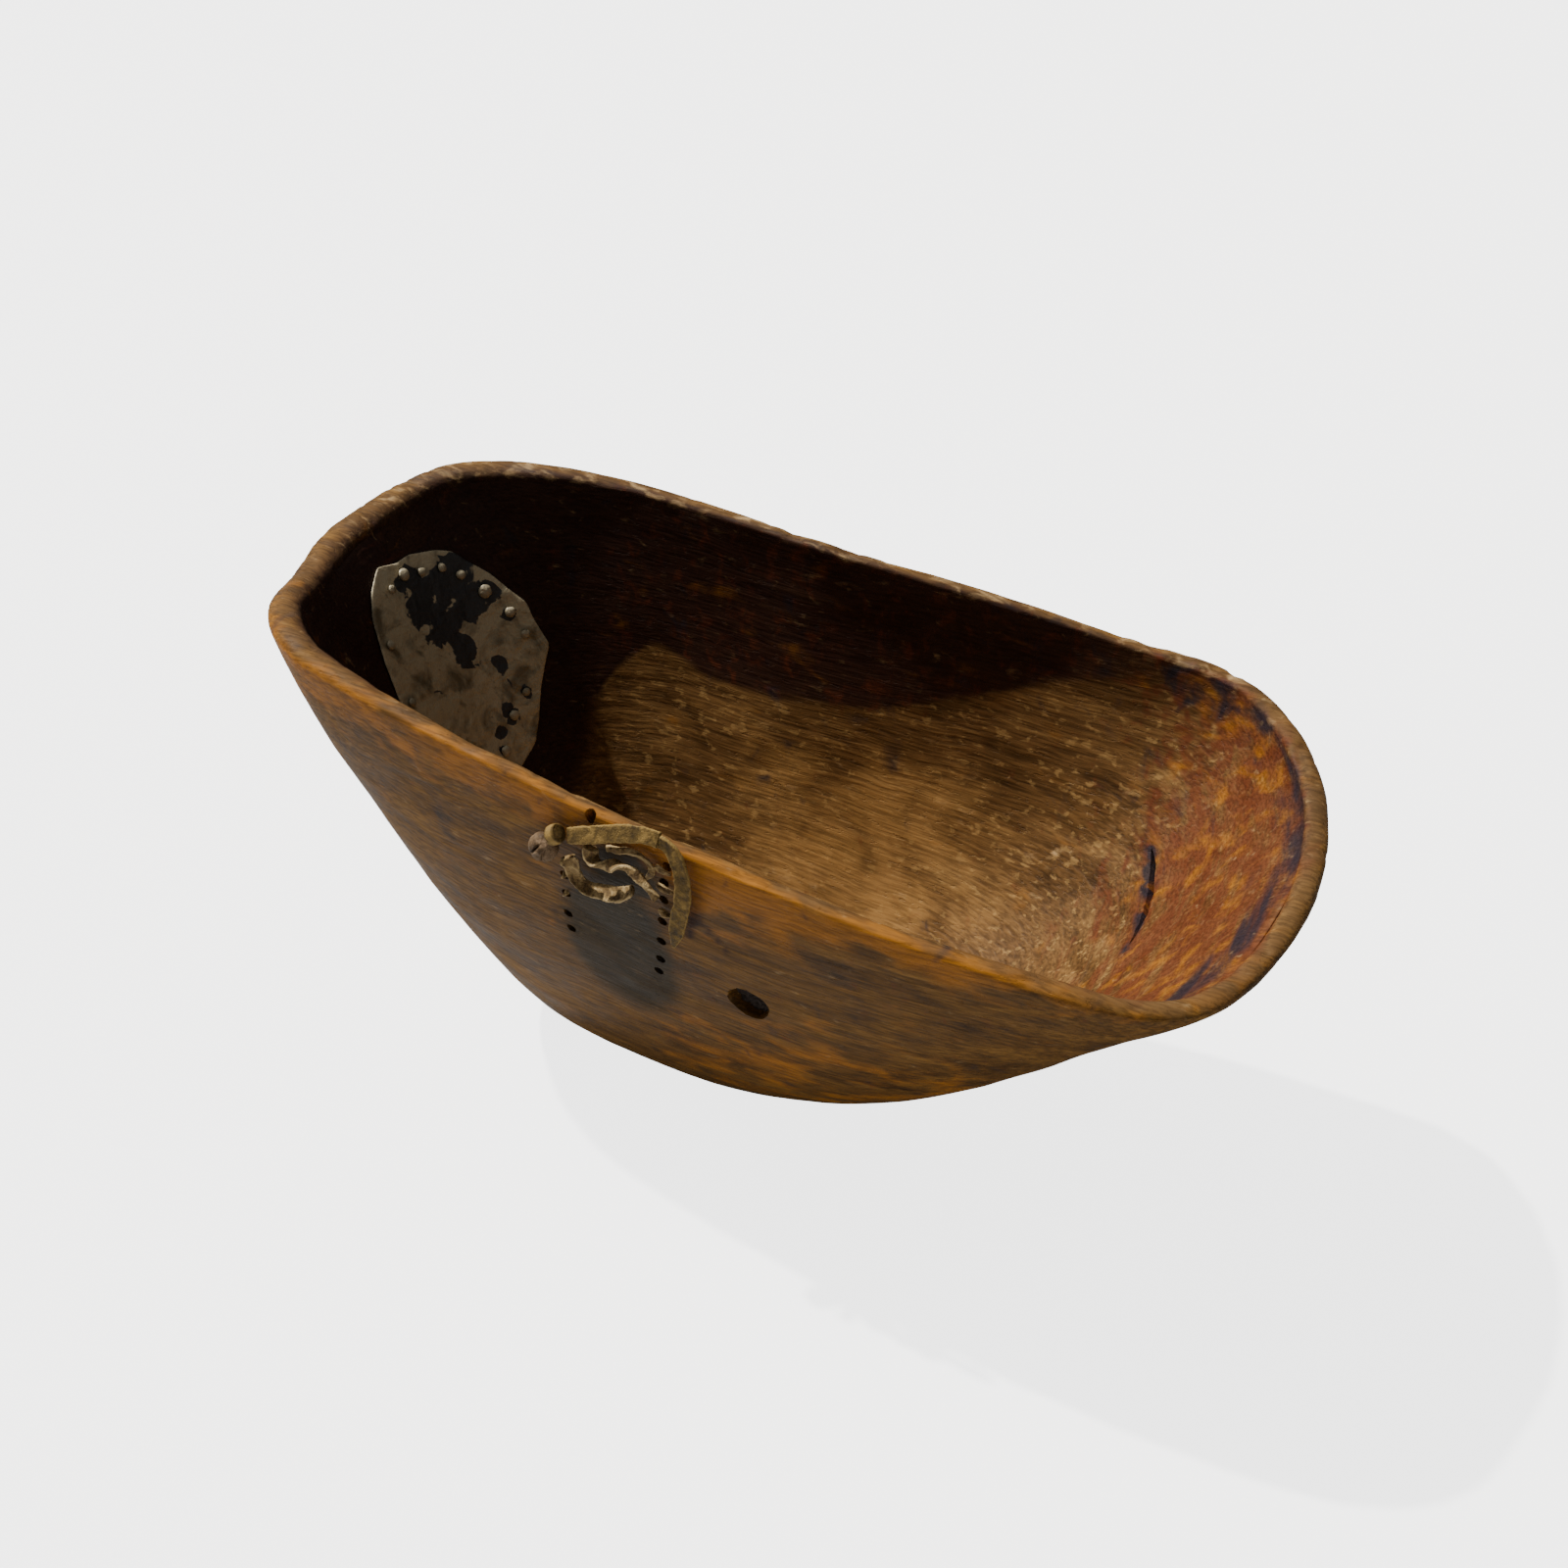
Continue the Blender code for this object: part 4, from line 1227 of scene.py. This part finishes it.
@dataclass
class Peg:
    """The broken peg inside its hole."""

    rings: int = 14
    sides: int = 40
    roughness: float = 0.0011
    tear_height: float = 0.0022
    tear_size: float = 0.0022

    def build(self) -> bpy.types.Object:
        """Builds the stump with a splintered face."""
        points = positions(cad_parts["peg_stub"].data)
        middle, axes = main_axes(points)
        reach = (points - middle) @ axes.T
        thin = int(np.argmin(np.ptp(reach, axis=0)))
        out = axes[thin] * -np.sign(axes[thin][1])
        depth = (points - middle) @ out
        half = float(np.abs(depth).max())
        up = np.array([0, 0, 1.0]) - out * out[2]
        up /= np.linalg.norm(up)
        across = np.cross(up, out)
        radius = float(np.linalg.norm(points - middle - np.outer(depth, out), axis=1).max())
        verts = [middle + out * half * 0.4]
        torn = [0.0]
        for i in range(1, self.rings + 1):
            r = radius * i / self.rings
            for j in range(self.sides):
                angle = 2 * math.pi * j / self.sides
                spot = Vector((math.cos(angle) * r, math.sin(angle) * r, 0)) / self.tear_size
                top = max(0.0, math.sin(angle))**2
                rise = half * 0.2 + self.roughness * noise.fractal(spot, 0.5, 2.0, 4)
                rise += self.tear_height * top * (i / self.rings)**4 * (0.6 + noise.noise(spot * 1.6))
                verts.append(middle + across * math.cos(angle) * r + up * math.sin(angle) * r
                             + out * min(rise, half + self.tear_height))
                torn.append(top * (i / self.rings)**1.2)
        low = len(verts)
        ring = verts[low - self.sides:]
        verts += [v - out * float((v - middle) @ out + half) for v in ring]
        verts.append(middle - out * half)
        torn += [0.0] * (self.sides + 1)
        pairs = [(j, (j + 1) % self.sides) for j in range(self.sides)]
        faces = [(0, 1 + j, 1 + k) for j, k in pairs]
        for i in range(self.rings):
            a, b = 1 + i * self.sides, 1 + (i + 1) * self.sides
            faces += [(a + j, b + j, b + k, a + k) for j, k in pairs]
        faces += [(low + k, low + j, len(verts) - 1) for j, k in pairs]
        stump = new_object("peg_stump", np.array(verts), faces)
        store_mask(stump.data, "torn", np.array(torn))
        return stump

    def dress(self, effects: Effects) -> None:
        """Builds the stump and gives it its finish."""
        place(self.build(), Body.SCOOP, Slot.PEG, SplinterFinish().make(effects), "peg_stub")


# ---------------------------------------------------------------------------
# Leather and rawhide
# ---------------------------------------------------------------------------
@dataclass(frozen=True)
class Strip:
    """A strip of hide laid along a route.

    The widths and thicknesses are given at even steps from its start to its
    end, and the turns are how far it twists on the way.
    """

    name: str
    route: tuple[Point, ...]
    out: Point
    widths: tuple[float, ...]
    thicknesses: tuple[float, ...]
    turns: float = 0.0
    squareness: float = 3.2
    flat_above: float = 2.5
    uneven: float = 0.10
    lump_size: float = 0.004
    curl: float = 0.0
    spacing: float = 0.0005
    sides: int = 20

    def path(self) -> np.ndarray:
        """Returns the points of its middle line."""
        return open_curve(metres(self.route), self.spacing)

    def build(self) -> bpy.types.Object:
        """Builds the strip as one closed tube.

        Returns:
            The strip, with its worn edges stored.
        """
        path = self.path()
        count = len(path)
        share = np.linspace(0, 1, count)
        width = np.interp(share, np.linspace(0, 1, len(self.widths)), self.widths) * MM
        thick = np.interp(share, np.linspace(0, 1, len(self.thicknesses)), self.thicknesses) * MM
        along = np.gradient(path, axis=0)
        along /= np.linalg.norm(along, axis=1)[:, None]
        facing = np.array(self.out)
        out = facing[None] - along * (along @ facing)[:, None]
        out /= np.linalg.norm(out, axis=1)[:, None]
        across = np.cross(along, out)
        turn = 2 * math.pi * self.turns * share
        across, out = (across * np.cos(turn)[:, None] + out * np.sin(turn)[:, None],
                       out * np.cos(turn)[:, None] - across * np.sin(turn)[:, None])
        angle = 2 * math.pi * np.arange(self.sides) / self.sides
        power = 2 / self.squareness
        u = np.sign(np.cos(angle)) * np.abs(np.cos(angle))**power
        flatness = power if self.squareness > self.flat_above else 1.0
        v = np.sign(np.sin(angle)) * np.abs(np.sin(angle))**flatness
        verts, edge = [], []
        for i in range(count):
            for a, b in zip(u, v):
                spot = Vector(path[i] / self.lump_size) + Vector((a * 0.8, b * 0.8, 0.0))
                stray = 1 + self.uneven * noise.fractal(spot, 0.6, 2.0, 3)
                bow = self.curl * a * a * thick[i]
                verts.append(path[i] + across[i] * a * width[i] / 2 * stray
                             + out[i] * (b * thick[i] / 2 * stray + bow))
                edge.append(abs(a)**6)
        faces = []
        for i in range(count - 1):
            low, high = i * self.sides, (i + 1) * self.sides
            for j in range(self.sides):
                k = (j + 1) % self.sides
                faces.append((low + j, low + k, high + k, high + j))
        faces.append(tuple(range(self.sides))[::-1])
        faces.append(tuple(range((count - 1) * self.sides, count * self.sides)))
        strip = new_object(self.name, np.array(verts), faces)
        bm = bmesh.new()
        bm.from_mesh(strip.data)
        bmesh.ops.recalc_face_normals(bm, faces=bm.faces)
        bm.to_mesh(strip.data)
        bm.free()
        store_mask(strip.data, "edge", np.array(edge))
        return strip


@dataclass
class Thong:
    """The leather thong's knot, collar, straps and rawhide ends.

    Each route is in millimetres.  The widths are given with the strips, in metres.
    """

    wall_out: Point = (-0.07, -0.98, -0.18)
    strap_width: float = 0.0068
    tail_width: float = 0.0060
    tongue_width: float = 0.0052
    twist_width: float = 0.0040
    lace_width: float = 0.0026
    run: tuple[Point, ...] = (
        (26.2, -109.9, 185.6), (31.7, -110.5, 188.1), (38.5, -110.8, 191.3), (45.3, -110.8, 194.2),
        (52, -111.1, 196.9), (57.5, -111.2, 198.5), (62, -111.3, 199.2), (65.1, -111.3, 199.2))
    tail: tuple[Point, ...] = (
        (65.6, -111.3, 199.1), (68.5, -111.6, 198.4), (71.4, -112.3, 196.4), (73.7, -113, 192.8),
        (75.6, -113.7, 188.4), (76, -113.7, 183.6), (75.4, -113.2, 177.1), (74.1, -112.4, 169.9),
        (72.3, -111.4, 162.3), (70.6, -110.2, 154.9), (69, -108.9, 148.6))
    tongue: tuple[Point, ...] = (
        (24.1, -108.5, 173.6), (25.3, -107.6, 170), (25.4, -106.5, 165.2), (27, -106, 161.4),
        (31, -106.4, 159.8), (37, -107.4, 161.2), (43, -108.5, 163), (48.8, -109.7, 166.2),
        (53.2, -110.6, 170.4))
    twist: tuple[Point, ...] = (
        (35.8, -110.6, 183.9), (35.4, -110.3, 180), (37.8, -110.9, 177.5), (42.3, -111.4, 178.4),
        (47.5, -112.4, 181.2), (52.5, -113.3, 182.6), (57.4, -114.2, 181.4), (62, -114.8, 178.4),
        (65.9, -115.2, 174.9))
    lace: tuple[Point, ...] = (
        (41.8, -108.8, 184.6), (46.2, -109.6, 186.1), (51, -110.4, 188), (56.1, -111.2, 189.1),
        (60.1, -111.6, 187.4), (61.5, -111.1, 183.6), (59.5, -109.8, 179.2), (56.6, -108.9, 175.8))
    stubs: tuple[str, ...] = ("stitch_stub_1", "stitch_stub_2", "stitch_stub_3", "hole_stub_1",
                              "hole_stub_2")
    stub_turn: float = 0.15
    stub_rise: float = 0.0004
    wrap_points: int = 30
    wrap_degrees: tuple[float, float] = (100, 415)
    wrap_size: tuple[float, float] = (0.66, 0.07)
    wrap_pitch: float = 0.0012

    def strips(self) -> list[tuple[Strip, Body, bool, str, str, float]]:
        """Returns each strip with its body, finish, node, far end and width.

        The third value says whether the strip is rawhide.
        """
        run = Strip("strap_over", self.run, (0.05, -0.86, 0.5), widths=(6.0, 6.9, 6.7, 6.9, 6.4, 6.0),
                    thicknesses=(1.9, 2.0, 1.8), curl=0.15)
        tail = Strip("strap_end", self.tail, (0.05, -0.98, -0.15),
                     widths=(6.2, 6.2, 6.4, 6.6, 6.8, 6.0, 1.2), thicknesses=(2.3, 2.1, 2.0, 1.8, 1.2),
                     curl=0.25, uneven=0.12)
        tongue = Strip("leather_tongue", self.tongue, (0.1, -0.8, 0.6),
                       widths=(6.6, 6.2, 5.2, 5.8, 6.6, 6.2, 4.4), thicknesses=(2.4, 1.8, 1.6, 1.8, 1.6),
                       turns=0.08, uneven=0.16, curl=0.4)
        twist = Strip("twisted_rawhide", self.twist, self.wall_out, widths=(6.0, 5.8, 5.0, 4.2, 3.9, 3.3),
                      thicknesses=(3.0, 2.8, 2.4, 2.6, 2.2), turns=1.6, squareness=2.2, uneven=0.2)
        lace = Strip("rawhide_loop", self.lace, self.wall_out, widths=(2.6, 3.0, 2.7, 2.6, 2.4),
                     thicknesses=(1.8, 1.7, 1.9, 1.5), turns=0.7, squareness=2.2, uneven=0.25)
        return [(run, Body.SCOOP, False, "strap_run", "object", self.strap_width),
                (tail, Body.TAIL, False, "strap_tail", "bare", self.tail_width),
                (tongue, Body.SCOOP, True, "thong_tongue", "bare", self.tongue_width),
                (twist, Body.SCOOP, True, "rawhide_twist", "bare", self.twist_width),
                (lace, Body.SCOOP, True, "rawhide_lace", "object", self.lace_width)]

    def build_knot(self) -> bpy.types.Object:
        """Builds the knot: a round bun of folded leather with a slit and a flap."""
        knot = copy_node("thong_knot", "tied_knot", 3)
        middle, half = middle_and_half(*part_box("thong_knot"))
        points, out = positions(knot.data), normals(knot.data)
        flat = (points - middle) / half
        along = flat[:, 0] * 0.80 + flat[:, 2] * 0.60
        across = -flat[:, 0] * 0.60 + flat[:, 2] * 0.80
        front = smooth_step(0.1, -0.5, flat[:, 1])
        slit = np.exp(-((across - 0.30 - 0.10 * np.sin(along * 3)) / 0.075)**2)
        slit *= smooth_step(0.75, 0.25, np.abs(along + 0.12))
        lobe = np.exp(-((across - 0.05) / 0.16)**2) * smooth_step(0.7, 0.1, np.abs(along + 0.1))
        seam = np.exp(-((flat[:, 0] - 0.42 - 0.35 * flat[:, 2]) / 0.07)**2)
        seam *= smooth_step(0.6, 0.0, flat[:, 2])
        fold = np.exp(-((across + 0.62) / 0.10)**2)
        lumps = rough_field(points, wavelength=0.006, seed=41.0, octaves=3) * 0.00035
        move = (lobe * 0.0006 - slit * 0.0021 - seam * 0.0010 - fold * 0.0005) * front + lumps - 0.0003
        move_points(knot.data, points + out * move[:, None])
        store_mask(knot.data, "edge", np.clip(front * lobe * 0.6 + front * seam * 0.3 - slit, 0, 1))
        return knot

    def build_collar(self) -> bpy.types.Object:
        """Builds the band wrapped round the thong beside the knot."""
        low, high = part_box("thong_collar")
        middle, half = (low + high) / 2, (high - low) / 2
        along = Vector((0.80, 0.0, 0.60))
        side = Vector((-0.60, 0.0, 0.80))
        front = Vector((0, -1, 0))
        (start, sweep), (inner, growth) = self.wrap_degrees, self.wrap_size
        last = self.wrap_points - 1
        route = []
        for i in range(self.wrap_points):
            t = math.radians(start + sweep * i / last)
            swell = inner + growth * i / last
            spot = side * math.cos(t) * half.z * swell + front * math.sin(t) * half.y * swell
            route.append(tuple((middle + spot + along * (i / last - 0.5) * self.wrap_pitch) / MM))
        strip = Strip("wrapped_collar", tuple(route), tuple(along), widths=(1.9, 1.7, 1.6),
                      thicknesses=(4.4, 4.9, 4.6), squareness=3.0, uneven=0.10)
        return strip.build()

    def build_stub(self, node: str, turns: float) -> bpy.types.Object:
        """Builds a cut-off stitch in the place of its frame node.

        Args:
            node: The frame node.
            turns: How far the stub twists.
        """
        points = positions(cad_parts[node].data)
        middle, axes = main_axes(points)
        reach = (points - middle) @ axes[0]
        ends = [middle + axes[0] * reach.min(), middle + axes[0] * reach.max()]
        bend = middle + np.array(self.wall_out) * self.stub_rise
        route = tuple(tuple(p / MM) for p in (ends[0], bend, ends[1]))
        strip = Strip(f"cut_{node}", route, self.wall_out, widths=(2.2, 2.9, 2.6, 1.6),
                      thicknesses=(1.7, 2.0, 1.6, 1.0), turns=turns, squareness=2.4, uneven=0.3,
                      spacing=0.0003)
        return strip.build()

    def dress(self, effects: Effects) -> None:
        """Builds every piece of the thong and gives it its hide."""
        leather = HideFinish("olive leather", dark=(0.052, 0.032, 0.010), middle=(0.130, 0.081, 0.023),
                             worn=(0.290, 0.185, 0.056)).make(effects)
        knot = HideFinish("knot leather", dark=(0.055, 0.033, 0.018), middle=(0.118, 0.073, 0.036),
                          worn=(0.240, 0.160, 0.095), scale=1100.0, roughness=(0.45, 0.7)).make(effects)
        rawhide = HideFinish("rawhide", dark=(0.075, 0.043, 0.016), middle=(0.215, 0.138, 0.055),
                             worn=(0.470, 0.340, 0.165), scale=1700.0).make(effects)
        for strip, body, raw, node, far_end, width in self.strips():
            piece = strip.build()
            place(piece, body, Slot.RAWHIDE if raw and node != "thong_tongue" else Slot.LEATHER,
                  rawhide if raw else leather, node)
            path = strip.path()
        place(self.build_knot(), Body.SCOOP, Slot.LEATHER, knot, "thong_knot")
        place(self.build_collar(), Body.SCOOP, Slot.LEATHER, leather, "thong_collar")
        for i, node in enumerate(self.stubs):
            place(self.build_stub(node, self.stub_turn * i), Body.SCOOP, Slot.RAWHIDE, rawhide, node)


# ---------------------------------------------------------------------------
# Studio
# ---------------------------------------------------------------------------
@dataclass
class Studio:
    """The camera, the pale floor and the soft light."""

    stand: Point = (0.33249, -0.57105, 0.62493)
    azimuth: float = 25.5014
    elevation: float = 36.9889
    roll: float = 1.7547
    lens: float = 44.151
    floor_side: float = 60.0
    floor_tone: Tone = (0.56, 0.558, 0.555)
    floor_glow: float = 3.3
    sun: Point = (-0.72, 0.06, 1.0)
    sun_power: float = 6.0
    sun_softness: float = 1.2
    box_power: float = 9.0
    box_side: float = 1.6
    sky: float = 0.17
    sensor: float = 36.0
    sight: float = 50.0
    sun_tone: Tone = (1.0, 0.97, 0.92)
    sky_tone: Tone = (1.0, 0.97, 0.93)
    box_distance: float = 2.2

    def add_camera(self) -> None:
        """Adds the camera, looking down from the front right."""
        azimuth, elevation, roll = (math.radians(v) for v in (self.azimuth, self.elevation, self.roll))
        back = Vector((math.sin(azimuth) * math.cos(elevation), -math.cos(azimuth) * math.cos(elevation),
                       math.sin(elevation)))
        level = Vector((math.cos(azimuth), math.sin(azimuth), 0))
        upright = back.cross(level)
        right = level * math.cos(roll) + upright * math.sin(roll)
        up = upright * math.cos(roll) - level * math.sin(roll)
        data = bpy.data.cameras.new("camera")
        data.lens = self.lens
        data.sensor_width = self.sensor
        data.clip_end = self.sight
        camera = add_object("camera", data)
        turn = Matrix((right, up, back)).transposed().to_4x4()
        camera.matrix_world = Matrix.Translation(self.stand) @ turn
        bpy.context.scene.camera = camera

    def add_floor(self) -> None:
        """Adds the pale floor, which glows for the camera only."""
        half = self.floor_side / 2
        corners = np.array([(-half, -half, 0), (half, -half, 0), (half, half, 0), (-half, half, 0)])
        floor = new_object("floor", corners, [(0, 1, 2, 3)])
        material, graph, shader = new_material("pale floor")
        shader.inputs["Base Color"].default_value = (*self.floor_tone, 1.0)
        shader.inputs["Roughness"].default_value = 1.0
        shader.inputs["Specular IOR Level"].default_value = 0.0
        glow = graph.add("ShaderNodeEmission")
        glow.inputs["Strength"].default_value = self.floor_glow
        both, seen = graph.add("ShaderNodeAddShader"), graph.add("ShaderNodeMixShader")
        graph.put(both.inputs[0], shader.outputs[0])
        graph.put(both.inputs[1], glow.outputs[0])
        graph.put(seen.inputs[0], graph.add("ShaderNodeLightPath").outputs["Is Camera Ray"])
        graph.put(seen.inputs[1], shader.outputs[0])
        graph.put(seen.inputs[2], both.outputs[0])
        graph.put(graph.tree.nodes["Material Output"].inputs["Surface"], seen.outputs[0])
        floor.data.materials.append(material)

    def add_light(self) -> None:
        """Adds the sun, a soft box in the same direction and a dim even sky."""
        data = bpy.data.lights.new("key", "SUN")
        data.energy = self.sun_power
        data.angle = math.radians(self.sun_softness)
        data.color = self.sun_tone
        key = add_object("key", data)
        key.rotation_euler = Vector(self.sun).to_track_quat("Z", "Y").to_euler()
        box_data = bpy.data.lights.new("softbox", "AREA")
        box_data.energy = self.box_power
        box_data.size = self.box_side
        box = add_object("softbox", box_data)
        box.location = Vector(self.sun).normalized() * self.box_distance
        box.rotation_euler = key.rotation_euler
        world = bpy.data.worlds.new("studio")
        world.use_nodes = True
        background = world.node_tree.nodes["Background"]
        background.inputs["Color"].default_value = (*self.sky_tone, 1.0)
        background.inputs["Strength"].default_value = self.sky
        bpy.context.scene.world = world

    def build(self) -> None:
        """Adds everything."""
        self.add_camera()
        self.add_floor()
        self.add_light()


def main() -> None:
    """Builds the scene in order."""
    logging.basicConfig(level=logging.INFO, format="%(name)s %(message)s")
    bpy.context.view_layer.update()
    effects = Effects()
    Studio().build()
    LOG.info("studio ready")
    for part in (Thong(), Bowl(), Mend(), Peg()):
        part.dress(effects)
        LOG.info("%s done", type(part).__name__)


if __name__ == "__main__":
    main()
